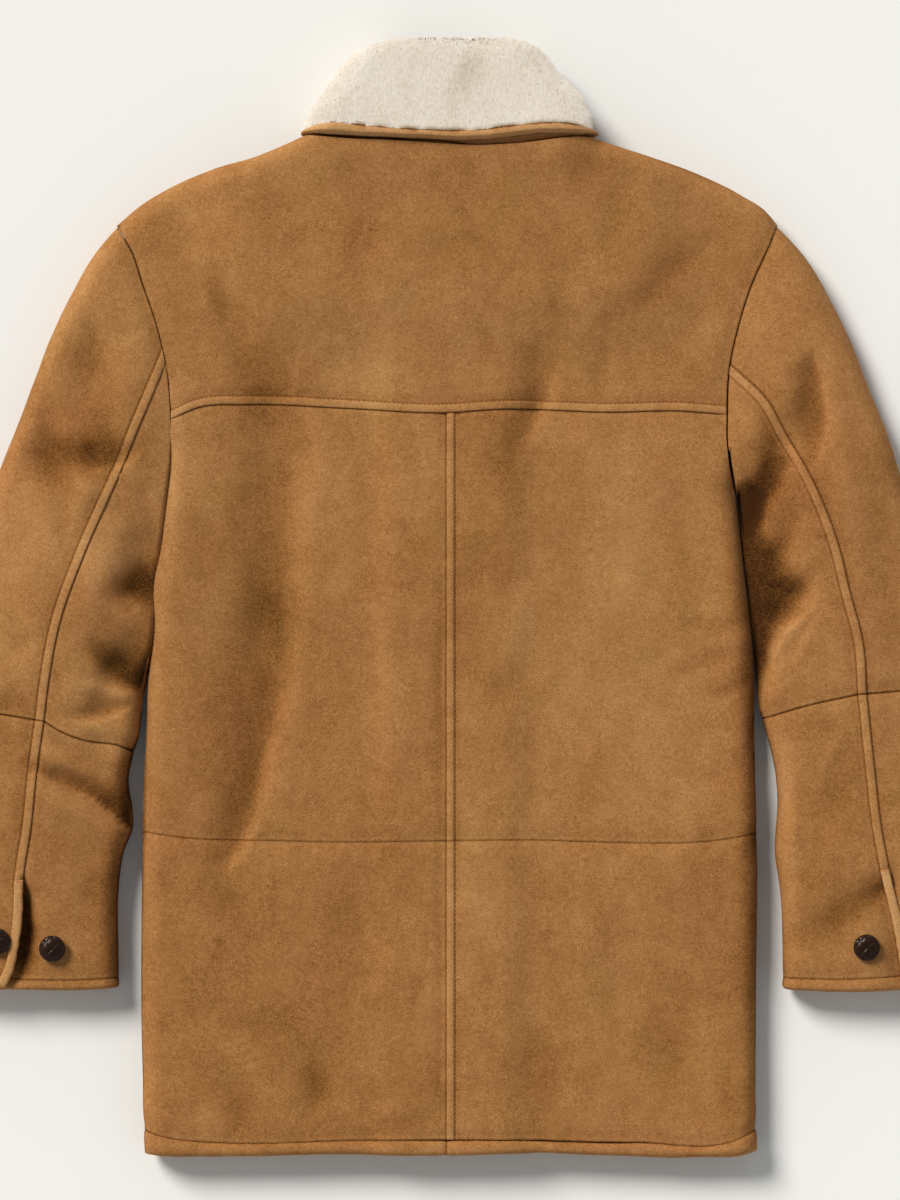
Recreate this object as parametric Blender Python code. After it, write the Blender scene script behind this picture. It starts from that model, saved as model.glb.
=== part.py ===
"""Shearling coat lying flat on its front, back up: each cut piece is its own solid.

World metres, +Z up. The coat rests on z = 0 with its collar towards +Y and the wearer's left at -X.
Tables and the sizes below are in millimetres.
"""

import bmesh
import bpy
import numpy as np

MM = 0.001

# Cloth layers
WALL = 14.0  # hide and pile of one layer
NECK_WALL = 12.0  # the same layer pressed under the collar
LAYER_GAP = 3.0  # between the back and the front
SEAM = 0.3  # between two pieces at a seam
EDGE_SEAM = 0.8  # between back and front where their folded edges meet
FOLD_RADIUS = WALL + LAYER_GAP / 2  # round edge where a layer turns over
TURN_RADIUS = LAYER_GAP / 2  # inside of that fold
EDGE_FADE = 50.0  # below the underarm the side grows into a full round edge
SIDE_CLEARANCE = 1.0  # sleeve to body where they lie side by side

# Body outline: shoulder point, armhole seam, underarm, side seam, hem
BODY_SIDES = (  # y, left x, right x
    (304.5, -273.5, 269.0),
    (283.0, -260.5, 259.0),
    (256.5, -251.5, 247.0),
    (224.0, -240.5, 236.5),
    (183.0, -231.5, 228.0),
    (152.0, -228.5, 226.5),
    (126.0, -229.5, 226.5),
    (96.0, -233.5, 232.0),
    (24.5, -241.0, 241.0),
    (-40.0, -246.0, 248.0),
    (-120.0, -250.0, 250.0),
    (-240.0, -253.0, 251.0),
    (-365.0, -253.0, 251.0),
    (-437.0, -250.5, 250.0),
    (-457.5, -249.5, 251.0),
)
UNDERARM_Y = {"left": 140.0, "right": 122.0}

# Shoulder seams and back neck seam, read along x
SHOULDER_LINE = (  # x, y
    (-273.5, 304.5),
    (-257.0, 319.0),
    (-229.5, 336.0),
    (-193.5, 351.0),
    (-158.0, 361.0),
    (-127.0, 374.0),
    (-121.0, 376.5),
    (-100.0, 376.5),
    (-60.0, 375.5),
    (-34.0, 373.5),
    (24.0, 369.5),
    (58.0, 371.0),
    (93.0, 374.5),
    (118.0, 374.0),
    (125.0, 372.5),
    (167.0, 359.5),
    (204.0, 346.5),
    (238.5, 330.0),
    (263.0, 312.5),
    (269.0, 304.5),
)
FRONT_NECK = (  # distance from the centre, y
    (0.0, 318.0),
    (40.0, 320.0),
    (65.0, 325.0),
    (85.0, 334.0),
    (96.5, 343.0),
    (103.5, 352.0),
    (108.6, 365.0),
    (110.5, 376.0),
)
NECK_HALF = 110.5
NECK_FADE = (110.0, 124.0)  # |x| over which the shoulder fold dies out under the collar

# Seams across the back, read along x
YOKE_SEAM = (  # x, y
    (-229.0, 145.5),
    (-207.5, 155.0),
    (-168.0, 158.0),
    (-88.5, 155.0),
    (-5.0, 151.0),
    (45.0, 154.0),
    (130.5, 151.5),
    (187.5, 152.5),
    (227.0, 149.5),
)
WAIST_SEAM = (  # x, y
    (-252.0, -192.5),
    (-213.0, -197.5),
    (-139.5, -199.5),
    (-93.5, -200.5),
    (-4.0, -199.5),
    (71.0, -199.0),
    (117.0, -200.5),
    (230.0, -197.5),
    (251.0, -193.5),
)
HEM_SEAM = (  # x, y
    (-251.0, -437.0),
    (-236.5, -441.5),
    (-183.0, -447.0),
    (-83.5, -445.0),
    (-4.0, -444.0),
    (61.0, -444.5),
    (151.0, -446.5),
    (240.0, -442.5),
    (250.5, -437.0),
)
HEM_END = (  # x, y
    (-250.0, -455.5),
    (-220.0, -457.5),
    (-183.0, -457.5),
    (-93.5, -455.5),
    (-8.0, -457.5),
    (71.0, -455.5),
    (151.0, -458.5),
    (205.0, -458.0),
    (240.0, -456.0),
    (251.5, -453.0),
)
CENTRE_BACK_X = -4.0
BAND_ROUND = 4.0  # rounding of bound edges
BAND_TURN = 0.3  # share of the wall taken off each face by that rounding

# Front closure, left over right
OVERLAP_HALF = 30.0
OVERLAP_RISE = 4.0  # extra height where both fronts lie on each other
OVERLAP_CLEAR = 12.0  # the layers stay parallel this far past each edge
OVERLAP_RAMP = 30.0
FRONT_BUTTON_YS = (175.0, 55.0, -65.0, -185.0)
RECESS_RADIUS = 11.8
RECESS_DEPTH = 7.9

# Collar: a flattened tube around the neck, folded over at its upper edge
COLLAR_SIDES = (  # y, left x, right x
    (376.5, -124.0, 124.0),
    (384.0, -121.5, 120.0),
    (392.5, -118.0, 116.5),
    (409.0, -105.5, 107.0),
    (426.0, -94.5, 91.5),
    (441.0, -83.0, 80.0),
    (449.0, -73.0, 73.5),
    (457.0, -57.0, 62.0),
)
FALL_EDGE = (  # x, y of the turned-down edge at the back
    (-124.5, 378.5),
    (-112.0, 380.5),
    (-62.0, 376.5),
    (12.0, 374.5),
    (72.0, 380.0),
    (107.0, 378.5),
    (122.5, 376.5),
)
FRONT_FALL_EDGE = (  # distance from the centre, y of the same edge under the fronts
    (0.0, 288.0),
    (48.0, 294.0),
    (75.0, 334.0),
    (97.0, 377.0),
    (125.0, 377.0),
)
FRONT_ROLL_LINE = (  # distance from the centre, y of the fold at the front
    (0.0, 432.0),
    (60.0, 438.0),
    (97.0, 448.0),
    (125.0, 457.0),
)
ROLL_LINE_Y = 457.0
COLLAR_HALF_HEIGHT = 27.5
COLLAR_FOLD = 13.0  # outer radius of the fold-over
COLLAR_FOLD_GAP = 1.0  # between the collar's two layers
COLLAR_WALL = COLLAR_FOLD - COLLAR_FOLD_GAP / 2
NECK_EASE = 0.3  # extra gap along the curved neck seam
COLLAR_END_X = 4.0  # where the collar's front ends stop
COLLAR_BAND = 8.3  # width of the bound edge
COLLAR_BAND_ROUND = 2.5
COLLAR_LIFT = 14.0  # the turned-down front collar lifts the fronts by this
LIFT_BOX = (125.0, 286.0)  # half width and lower y of the lifted area
LIFT_MARGIN = 28.0
LIFT_RAMP = 75.0

# Sleeves
SLEEVES = {
    "left": {
        "side": -1,
        "seam_top_y": 191.0,
        "outer": (
            (-273.5, 304.5),
            (-290.5, 282.5),
            (-311.5, 244.5),
            (-327.0, 213.0),
            (-343.0, 174.0),
            (-369.0, 108.0),
            (-393.5, 42.5),
            (-411.5, -19.0),
            (-425.0, -86.0),
        ),
        "outer_lower": ((-425.0, -86.0), (-430.0, -134.0), (-430.0, -191.0), (-424.0, -322.0)),
        "seam": (
            (-254.0, 140.0),
            (-274.5, 90.0),
            (-298.5, 35.5),
            (-319.5, -24.5),
            (-327.5, -66.5),
            (-332.0, -101.7),
        ),
        "seam_lower": (
            (-332.0, -101.7),
            (-337.0, -137.0),
            (-342.5, -188.5),
            (-349.0, -231.0),
            (-350.0, -258.0),
            (-353.0, -284.0),
            (-357.0, -304.0),
            (-365.0, -321.5),
        ),
        "inner_bend": ((-252.0, -84.5), (-255.5, -116.5), (-258.5, -126.5)),
        "inner_lower": (
            (-258.5, -126.5),
            (-263.5, -151.0),
            (-260.5, -171.5),
            (-259.5, -187.0),
            (-268.0, -211.5),
            (-271.0, -232.0),
            (-271.5, -292.5),
            (-271.0, -321.0),
        ),
        "elbow_outer": ((-332.0, -101.7), (-369.0, -95.5), (-425.0, -86.0)),
        "elbow_inner": (
            (-332.0, -101.7),
            (-317.5, -110.5),
            (-296.5, -118.0),
            (-272.0, -121.5),
            (-258.5, -126.5),
        ),
        "cuff_end_outer": ((-365.0, -321.5), (-424.0, -322.0)),
        "cuff_end_inner": ((-365.0, -321.5), (-310.0, -322.5), (-271.0, -321.0)),
        "button_spots": (("spare", -325.0, -287.5), ("flap", -370.0, -281.5)),
    },
    "right": {
        "side": 1,
        "seam_top_y": 182.0,
        "outer": (
            (269.0, 304.5),
            (291.0, 279.0),
            (309.5, 249.5),
            (328.0, 213.0),
            (346.0, 169.0),
            (361.5, 127.0),
            (369.0, 103.5),
            (393.5, 38.5),
            (411.5, -23.0),
            (424.5, -72.0),
        ),
        "outer_lower": ((424.5, -72.0), (430.0, -134.0), (430.0, -191.0), (423.5, -322.0)),
        "seam": (
            (252.0, 158.5),
            (270.5, 127.0),
            (291.0, 90.0),
            (309.5, 43.5),
            (320.0, 1.5),
            (330.5, -40.0),
            (333.5, -79.8),
        ),
        "seam_lower": (
            (333.5, -79.8),
            (340.5, -146.0),
            (345.5, -188.5),
            (354.5, -234.5),
            (363.0, -268.0),
            (367.0, -292.5),
            (371.0, -321.5),
        ),
        "inner_bend": ((252.5, -83.0), (255.0, -100.0)),
        "inner_lower": (
            (255.0, -100.0),
            (263.0, -125.0),
            (267.0, -143.0),
            (269.0, -165.0),
            (268.0, -211.5),
            (272.0, -240.0),
            (273.0, -310.0),
            (272.5, -322.0),
        ),
        "elbow_outer": ((333.5, -79.8), (369.0, -77.0), (424.5, -72.0)),
        "elbow_inner": ((333.5, -79.8), (290.0, -89.5), (255.0, -100.0)),
        "cuff_end_outer": ((371.0, -321.5), (423.5, -322.0)),
        "cuff_end_inner": ((371.0, -321.5), (320.0, -323.5), (272.5, -322.0)),
        "button_spots": (("spare", 340.5, -286.5), ("flap", 384.0, -281.5)),
    },
}
BESIDE_BODY_YS = (110.0, 80.0, 40.0, 0.0, -40.0)  # where the sleeve's inner edge follows the body
CROWN = (  # share of the way from armhole to cuff, extra height along the sleeve's middle
    (0.0, 0.0),
    (0.12, 8.0),
    (0.4, 11.0),
    (0.65, 9.0),
    (0.9, 5.0),
    (1.0, 3.0),
)
ARMHOLE_EASE = 0.5  # extra gap along the curved armhole
UPPER_SHARE = 0.62  # of a sleeve's length that lies above the elbow seam
CUFF_START = 0.955  # share of the lower sleeve at which its bound end begins
VENT_DIP = 5.0  # the under sleeve sinks beside the vent's edge
VENT_DIP_WIDTH = 13.0
VENT_TOP_Y = -232.0
VENT_FADE = 15.0
PLACKET_SHARES = (0.6, 0.945)  # of the lower sleeve, where the placket starts and ends
PLACKET_ROWS = 6
PLACKET_WIDTH = 7.0
PLACKET_INSET = 1.0
PLACKET_LIFT = 0.6
PLACKET_THICK = 2.0

# Largest folds, as soft troughs along straight lines
FOLDS = (  # x from, y from, x to, y to, half width, depth
    (-152.0, 137.0, -154.0, -35.0, 30.0, 2.5),
    (-154.0, -35.0, -176.0, -190.0, 30.0, 2.0),
    (-285.0, 208.0, -318.0, 125.0, 22.0, 4.5),
    (-252.0, 40.0, -263.0, 2.0, 14.0, 5.0),
    (-262.0, -42.0, -284.0, -84.0, 12.0, 4.0),
    (-320.0, -146.0, -268.0, -182.0, 9.0, 4.0),
    (240.0, 82.0, 286.0, 143.0, 17.0, 5.0),
    (292.0, 178.0, 297.0, 130.0, 13.0, 3.5),
    (252.0, -66.0, 286.0, 0.0, 15.0, 6.0),
)

# Buttons
BUTTON_RADIUS = 10.8
BUTTON_HEIGHT = 7.3
SHANK_RADIUS = 3.0
SHANK_HEIGHT = 1.7
SUNK_SHANK = 0.3  # share of the shank that shows where a button is pressed into the cloth
BUTTON_WAIST = 0.86  # share of the radius at which the dome starts
DOME_LOW = 0.15  # share of the dome's height at which its widest ring lies
DOME_ANGLES = (12.0, 40.0, 65.0)  # degrees
BUTTON_SEGMENTS = 16

# Mesh density
ROLL_STEPS = 2
EDGE_LAND = 5.0  # degrees of the round edge left to the rim at a side seam
DENSE = 81
SHARP_ANGLE = 50.0  # degrees
SIDE_WIDTH = 250.0  # width by which the round side edge is shared out across a panel
BACK_STATIONS = (232.0, 190.0, 152.0, 124.0, 96.5, 68.0, 36.0)  # |x| of the columns at the top
FRONT_STATIONS = (232.0, 190.0, 152.0, 124.0, 111.0, 108.6, 103.5, 96.5, 84.0, 68.0, 48.0, 30.0)
FRONT_EDGE_STATIONS = (0.0, -30.0)
ARMHOLE_ROWS, ARMHOLE_DEPTH = 7, 178.0
UPPER_ROWS, UPPER_BUNCHING = 7, 1.5  # rows of the upper back, closer together near the underarm
LOWER_ROWS = 5
FRONT_ROWS = 7  # rows of a front below the armhole
BAND_ROWS = 3
SLEEVE_ROWS = {"upper": 7, "lower": 5}
SLEEVE_STEPS = {"outer": 4, "inner": 3}  # flat steps across a sleeve part
COLLAR_TURN_STEPS = 7
COLLAR_STEPS = 3
FOLD_STEPS = 4

COLOURS = {  # base colour, roughness
    "suede": ((0.42, 0.21, 0.075, 1.0), 0.9),
    "fleece": ((0.80, 0.74, 0.65, 1.0), 0.95),
    "button_leather": ((0.03, 0.018, 0.012, 1.0), 0.4),
}


def smooth(x):
    x = np.clip(x, 0.0, 1.0)
    return x * x * (3.0 - 2.0 * x)


def through(x, table_x, table_y):
    """Smooth line through a table's points, read at x; table_x rises."""
    table_x = np.asarray(table_x, float)
    table_y = np.asarray(table_y, float)
    x = np.clip(x, table_x[0], table_x[-1])
    slope = np.gradient(table_y, table_x)
    i = np.clip(np.searchsorted(table_x, x) - 1, 0, len(table_x) - 2)
    step = table_x[i + 1] - table_x[i]
    u = (x - table_x[i]) / step
    rise = table_y[i] * (1 + 2 * u) * (1 - u) ** 2 + table_y[i + 1] * u * u * (3 - 2 * u)
    return rise + step * u * (1 - u) * (slope[i] * (1 - u) - slope[i + 1] * u)


def along(table, x):
    """y of a table of (x, y) rows at x."""
    columns = np.array(table)
    return through(x, columns[:, 0], columns[:, 1])


def body_x(side, y):
    """x of the body's outline at height y in plan."""
    columns = np.array(BODY_SIDES)[::-1]
    return through(y, columns[:, 0], columns[:, 1 if side == "left" else 2])


def curve(points):
    """Smooth plan curve through points, read by its share of the length."""
    points = np.array(points, float)
    reach = np.concatenate(([0.0], np.cumsum(np.hypot(*np.diff(points, axis=0).T))))

    def at(share):
        distance = np.asarray(share, float) * reach[-1]
        x = through(distance, reach, points[:, 0])
        return np.stack((x, through(distance, reach, points[:, 1])), axis=-1)

    return at


def seam_curve(table, xs, shares=(0.0, 1.0)):
    """The part of an (x, y) table between values of x, read by its share."""

    def at(share):
        x = np.interp(share, shares, xs)
        return np.stack((x, along(table, x)), axis=-1)

    return at


def side_curve(side, y_from, y_to):
    """Body outline between two values of y, read by its share."""

    def at(share):
        y = y_from + (y_to - y_from) * np.asarray(share, float)
        return np.stack((body_x(side, y), y), axis=-1)

    return at


def upright(x, y_from, y_to):
    """Straight plan line of constant x."""
    return curve(((x, y_from), (x, y_to)))


def patch(start, end, first, last):
    """Plan patch between four curves: start, end at s = 0, 1 and first, last at t = 0, 1."""
    c00, c10, c01, c11 = first(0.0), first(1.0), last(0.0), last(1.0)

    def at(s, t):
        sv, tv = np.asarray(s)[..., None], np.asarray(t)[..., None]
        lengthwise = (1 - tv) * first(s) + tv * last(s)
        crosswise = (1 - sv) * start(t) + sv * end(t)
        near = (1 - tv) * ((1 - sv) * c00 + sv * c10)
        far = tv * ((1 - sv) * c01 + sv * c11)
        return lengthwise + crosswise - near - far

    return at


def lift(x, y):
    """1 over the turned-down front collar, falling to 0 around it."""
    half, low = LIFT_BOX
    away = np.hypot(np.maximum(np.abs(x) - half, 0), np.maximum(low - y, 0))
    return 1 - smooth((away - LIFT_MARGIN) / LIFT_RAMP)


def base_z(x, y):
    return COLLAR_LIFT * lift(x, y)


def wall(x, y):
    return WALL - (WALL - NECK_WALL) * lift(x, y)


def fronts_thick(x, y):
    """Both fronts together where they overlap, one front elsewhere."""
    past = np.abs(x) - OVERLAP_HALF - OVERLAP_CLEAR
    share = (1 - smooth(past / OVERLAP_RAMP)) * (1 - lift(x, y))
    return wall(x, y) + OVERLAP_RISE * share


def fold_depth(x, y):
    depth = np.zeros_like(x)
    for x0, y0, x1, y1, half_width, deep in FOLDS:
        run = np.array((x1 - x0, y1 - y0))
        share = np.clip(((x - x0) * run[0] + (y - y0) * run[1]) / (run @ run), 0, 1)
        off = np.hypot(x - x0 - share * run[0], y - y0 - share * run[1])
        depth = depth + deep * np.exp(-((off / half_width) ** 2))
    return depth


def middle_z(x, y):
    """Height of the fold line and of the gap between the layers."""
    return base_z(x, y) + wall(x, y) + LAYER_GAP / 2


def round_edge(distance):
    """0 at a folded edge, 1 past its round part."""
    return np.sqrt(1 - (1 - np.clip(distance / FOLD_RADIUS, 0, 1)) ** 2)


def inner_edge(distance):
    """0 where the layers meet at a side seam, 1 where the gap is open."""
    return smooth((distance - (FOLD_RADIUS - 4 * TURN_RADIUS)) / (4 * TURN_RADIUS))


def material(name):
    found = bpy.data.materials.get(name)
    if found:
        return found
    colour, roughness = COLOURS[name]
    made = bpy.data.materials.new(name)
    made.use_nodes = True
    shader = made.node_tree.nodes["Principled BSDF"]
    shader.inputs["Base Color"].default_value = colour
    shader.inputs["Roughness"].default_value = roughness
    shader.inputs["Metallic"].default_value = 0.0
    return made


def finish_object(name, shape, material_name):
    bmesh.ops.recalc_face_normals(shape, faces=shape.faces)
    bmesh.ops.triangulate(shape, faces=shape.faces, quad_method="BEAUTY")
    mesh = bpy.data.meshes.new(name)
    shape.to_mesh(mesh)
    shape.free()
    mesh.materials.append(material(material_name))
    mesh.shade_smooth()
    mesh.set_sharp_from_angle(angle=np.radians(SHARP_ANGLE))
    made = bpy.data.objects.new(name, mesh)
    bpy.context.scene.collection.objects.link(made)
    return made


def plate(name, outer, inner, material_name):
    """Closed cloth piece between two grids of points, with a rim on all four sides."""
    shape = bmesh.new()
    rows, columns = outer.shape[:2]
    skins = [
        [[shape.verts.new(point * MM) for point in row] for row in grid] for grid in (outer, inner)
    ]
    for skin in skins:
        for i in range(rows - 1):
            for j in range(columns - 1):
                shape.faces.new((skin[i][j], skin[i][j + 1], skin[i + 1][j + 1], skin[i + 1][j]))
    loops = [
        [(0, j) for j in range(columns)],
        [(rows - 1, j) for j in range(columns)],
        [(i, 0) for i in range(rows)],
        [(i, columns - 1) for i in range(rows)],
    ]
    for loop in loops:
        for (i, j), (k, m) in zip(loop, loop[1:]):
            shape.faces.new((skins[0][i][j], skins[0][k][m], skins[1][k][m], skins[1][i][j]))
    return finish_object(name, shape, material_name)


def with_height(plan, z):
    return np.concatenate((plan, np.broadcast_to(z, plan.shape[:-1])[..., None]), axis=-1)


# ---------------------------------------------------------------- body panels


def neck_fade(x):
    """1 along a shoulder, 0 along the neck seam."""
    low, high = NECK_FADE
    return smooth((np.abs(x) - low) / (high - low))


def side_fade(side, y):
    """0 along the armhole, 1 along the side seam."""
    return smooth((UNDERARM_Y[side] - y) / EDGE_FADE)


def side_stations(side, stations):
    """s of a half panel's columns: its round side edge, then stations given as |x| at the top."""
    angle = np.linspace(0, np.pi / 2, ROLL_STEPS + 1)
    angle[0] = np.radians(EDGE_LAND)
    roll = FOLD_RADIUS * (1 - np.cos(angle)) / SIDE_WIDTH
    reach = abs(shoulder_point(side))
    end = stations[-1]
    return np.concatenate((roll, (reach - np.array(stations)) / (reach - end)))


def panel_grid(plan, side, s_line, shares, roll_top):
    """Plan points of a body panel and how far its round edges have risen at each.

    s runs from the side (or from the left armhole) to the centre, t from the top down. The
    shares are those of the rows, or with a round top edge those below it.
    """
    height = np.linalg.norm(plan(s_line, np.ones_like(s_line)) - plan(s_line, 0 * s_line), axis=-1)
    if roll_top:
        angle = np.linspace(0, np.pi / 2, ROLL_STEPS + 1)
        angle[0] = np.radians(EDGE_LAND)
        roll = np.broadcast_to(FOLD_RADIUS * (1 - np.cos(angle))[:, None], (len(angle), len(height)))
        below = FOLD_RADIUS + shares[1:, None] * (height - FOLD_RADIUS - SEAM / 2)
        t = np.concatenate((roll, below)) / height
    else:
        t = (SEAM / 2 + shares[:, None] * (height - SEAM)) / height
    s = np.broadcast_to(s_line, t.shape)
    points = plan(s, t)
    x, y = points[..., 0], points[..., 1]
    rise, opening = np.ones_like(x), np.ones_like(x)
    if side is not None:
        fade = side_fade(side, y)
        rise = rise * (1 - fade + fade * round_edge(s * SIDE_WIDTH))
        opening = opening * (1 - fade + fade * inner_edge(s * SIDE_WIDTH))
    if roll_top:
        fade = neck_fade(x)
        rise = rise * (1 - fade + fade * round_edge(t * height))
        opening = opening * (1 - fade + fade * inner_edge(t * height))
    return points, rise, opening


def back_panel(name, plan, side, s_line, shares, roll_top=False, round_end=False):
    points, rise, opening = panel_grid(plan, side, s_line, shares, roll_top)
    x, y = points[..., 0], points[..., 1]
    middle = middle_z(x, y)
    floor = base_z(x, y) + fronts_thick(x, y) + LAYER_GAP
    roof = floor + wall(x, y) - fold_depth(x, y)
    top = middle + (roof - middle) * rise
    under = middle + EDGE_SEAM / 2 + (floor - middle - EDGE_SEAM / 2) * opening
    if round_end:
        points, top, under = rounded_end(points, top, under)
    return plate(name, with_height(points, top), with_height(points, under), "suede")


def front_panel(name, plan, side, shares, roll_top=False, round_end=False):
    s_line = side_stations(side, FRONT_STATIONS + FRONT_EDGE_STATIONS)
    points, rise, opening = panel_grid(plan, side, s_line, shares, roll_top)
    x, y = points[..., 0], points[..., 1]
    middle = middle_z(x, y)
    base = base_z(x, y)
    both = fronts_thick(x, y)
    past = OVERLAP_HALF + OVERLAP_CLEAR
    if side == "left":
        share = smooth((x + past + OVERLAP_RAMP) / OVERLAP_RAMP)
        roof = base + both * (1 - share) + (both / 2 - SEAM / 2) * share
        floor = base
    else:
        share = 1 - smooth((x - past) / OVERLAP_RAMP)
        roof = base + both
        floor = base + (both / 2 + SEAM / 2) * share
    bottom = middle - (middle - floor) * rise
    over = middle - EDGE_SEAM / 2 - (middle - EDGE_SEAM / 2 - roof) * opening
    if round_end:
        points, over, bottom = rounded_end(points, over, bottom)
    return plate(name, with_height(points, over), with_height(points, bottom), "suede")


def rounded_end(points, top, under):
    """Pull both faces of a bound edge together along its last row."""
    turn = np.minimum(BAND_ROUND, BAND_TURN * (top - under))[-1]
    top[-1] -= turn
    under[-1] += turn
    inward = points[-2] - points[-1]
    reach = np.linalg.norm(inward, axis=-1, keepdims=True)
    points[-2] = points[-1] + inward * (BAND_ROUND / reach)
    return points, top, under


def centre_to_side(side, x_centre, table):
    """Seam table read from the side to the centre."""
    y_side = table[0][1] if side == "left" else table[-1][1]
    return seam_curve(table, (float(body_x(side, y_side)), x_centre))


def shoulder_point(side):
    return BODY_SIDES[0][1 if side == "left" else 2]


def build_back():
    yoke_left = float(body_x("left", YOKE_SEAM[0][1]))
    yoke_right = float(body_x("right", YOKE_SEAM[-1][1]))
    half = (CENTRE_BACK_X - yoke_left) / (yoke_right - yoke_left)
    shoulders = (shoulder_point("left"), CENTRE_BACK_X, shoulder_point("right"))
    yoke = patch(
        side_curve("left", BODY_SIDES[0][0], YOKE_SEAM[0][1]),
        side_curve("right", BODY_SIDES[0][0], YOKE_SEAM[-1][1]),
        seam_curve(SHOULDER_LINE, shoulders, (0.0, half, 1.0)),
        seam_curve(YOKE_SEAM, (yoke_left, yoke_right)),
    )
    stations = BACK_STATIONS + (-CENTRE_BACK_X,)
    s_left, s_right = side_stations("left", stations), side_stations("right", stations)
    s_yoke = np.concatenate((half * s_left[:-1], [half], 1 - (1 - half) * s_right[-2::-1]))
    inset = SEAM / 2 / SIDE_WIDTH
    down = np.linspace(0, 1, ARMHOLE_ROWS + 1)
    back_panel("yoke_back", yoke, None, np.clip(s_yoke, inset, 1 - inset), down, roll_top=True)
    upper = np.linspace(0, 1, UPPER_ROWS + 1) ** UPPER_BUNCHING
    lower = np.linspace(0, 1, LOWER_ROWS + 1)
    band = np.linspace(0, 1, BAND_ROWS)
    seams = (("upper", YOKE_SEAM, WAIST_SEAM, upper), ("lower", WAIST_SEAM, HEM_SEAM, lower))
    for side in ("left", "right"):
        end = 0 if side == "left" else -1
        s_back = np.clip(s_left if side == "left" else s_right, 0, 1 - inset)
        for level, over, below, shares in seams:
            plan = patch(
                side_curve(side, over[end][1], below[end][1]),
                upright(CENTRE_BACK_X, *centre_ys(over, below)),
                centre_to_side(side, CENTRE_BACK_X, over),
                centre_to_side(side, CENTRE_BACK_X, below),
            )
            back_panel(f"back_{level}_{side}", plan, side, s_back, shares)
        plan = patch(
            side_curve(side, HEM_SEAM[end][1], HEM_END[end][1]),
            upright(CENTRE_BACK_X, *centre_ys(HEM_SEAM, HEM_END)),
            centre_to_side(side, CENTRE_BACK_X, HEM_SEAM),
            centre_to_side(side, CENTRE_BACK_X, HEM_END),
        )
        back_panel(f"hem_band_back_{side}", plan, side, s_back, band, round_end=True)


def centre_ys(over, below, x=CENTRE_BACK_X):
    return float(along(over, x)), float(along(below, x))


def front_top_curve(side, x_edge):
    """Shoulder seam and front neck seam, from the shoulder point to the front edge."""
    x_from = shoulder_point(side)

    def at(share):
        x = x_from + (x_edge - x_from) * np.asarray(share, float)
        neck = along(FRONT_NECK, np.abs(x))
        y = np.where(np.abs(x) < NECK_HALF, neck, along(SHOULDER_LINE, x))
        return np.stack((x, y), axis=-1)

    return at


def build_fronts():
    armhole = ARMHOLE_DEPTH / (BODY_SIDES[0][0] - HEM_SEAM[0][1])
    down = np.linspace(0, armhole, ARMHOLE_ROWS + 1)
    down = np.concatenate((down, np.linspace(armhole, 1, FRONT_ROWS + 1)[1:]))
    band_shares = np.linspace(0, 1, BAND_ROWS)
    for side in ("left", "right"):
        sign = -1 if side == "left" else 1
        end = 0 if side == "left" else -1
        x_edge = -sign * OVERLAP_HALF
        top = front_top_curve(side, x_edge)
        edge = upright(x_edge, float(top(1.0)[1]), float(along(HEM_SEAM, x_edge)))
        outline = side_curve(side, BODY_SIDES[0][0], HEM_SEAM[end][1])
        plan = patch(outline, edge, top, centre_to_side(side, x_edge, HEM_SEAM))
        panel = front_panel(f"front_{side}", plan, side, down, roll_top=True)
        if side == "left":
            for number, y in enumerate(FRONT_BUTTON_YS, 1):
                cut_recess(panel, number, y)
                button(f"front_button_{number}", 0.0, y, RECESS_DEPTH - SEAM, down=True)
        band = patch(
            side_curve(side, HEM_SEAM[end][1], HEM_END[end][1]),
            upright(x_edge, *centre_ys(HEM_SEAM, HEM_END, x_edge)),
            centre_to_side(side, x_edge, HEM_SEAM),
            centre_to_side(side, x_edge, HEM_END),
        )
        front_panel(f"hem_band_front_{side}", band, side, band_shares, round_end=True)


# ---------------------------------------------------------------- sleeves


def sleeve_plans(side):
    """Plan patches of a sleeve: (outer or inner part) x (upper or lower), s = 1 at the folded edge."""
    cut = SLEEVES[side]
    y_seam = cut["seam_top_y"]
    y_under = UNDERARM_Y[side]
    beside = [
        (float(body_x(side, y)) + cut["side"] * SIDE_CLEARANCE, y)
        for y in (y_under, *BESIDE_BODY_YS)
    ]
    seam_start = (float(body_x(side, y_seam)), y_seam)
    seam_upper = curve((seam_start, *cut["seam"]))
    seam_lower = curve(cut["seam_lower"])
    return {
        ("outer", "upper"): patch(
            seam_upper,
            curve(cut["outer"]),
            side_curve(side, y_seam, BODY_SIDES[0][0]),
            curve(cut["elbow_outer"]),
        ),
        ("inner", "upper"): patch(
            seam_upper,
            curve((*beside, *cut["inner_bend"])),
            side_curve(side, y_seam, y_under),
            curve(cut["elbow_inner"]),
        ),
        ("outer", "lower"): patch(
            seam_lower,
            curve(cut["outer_lower"]),
            curve(cut["elbow_outer"]),
            curve(cut["cuff_end_outer"]),
        ),
        ("inner", "lower"): patch(
            seam_lower,
            curve(cut["inner_lower"]),
            curve(cut["elbow_inner"]),
            curve(cut["cuff_end_inner"]),
        ),
    }


def row_reader(plan, t):
    """Length of one row, and a function from the distance to its folded edge to plan points."""
    s = np.linspace(0, 1, DENSE)
    points = plan(s, np.full(DENSE, t))
    steps = np.hypot(*np.diff(points, axis=0).T)
    from_edge = np.concatenate((np.cumsum(steps[::-1])[::-1], [0.0]))

    def at(distance):
        share = np.interp(distance, from_edge[::-1], s[::-1])
        return plan(share, np.full_like(share, t))

    return from_edge[0], at


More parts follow.
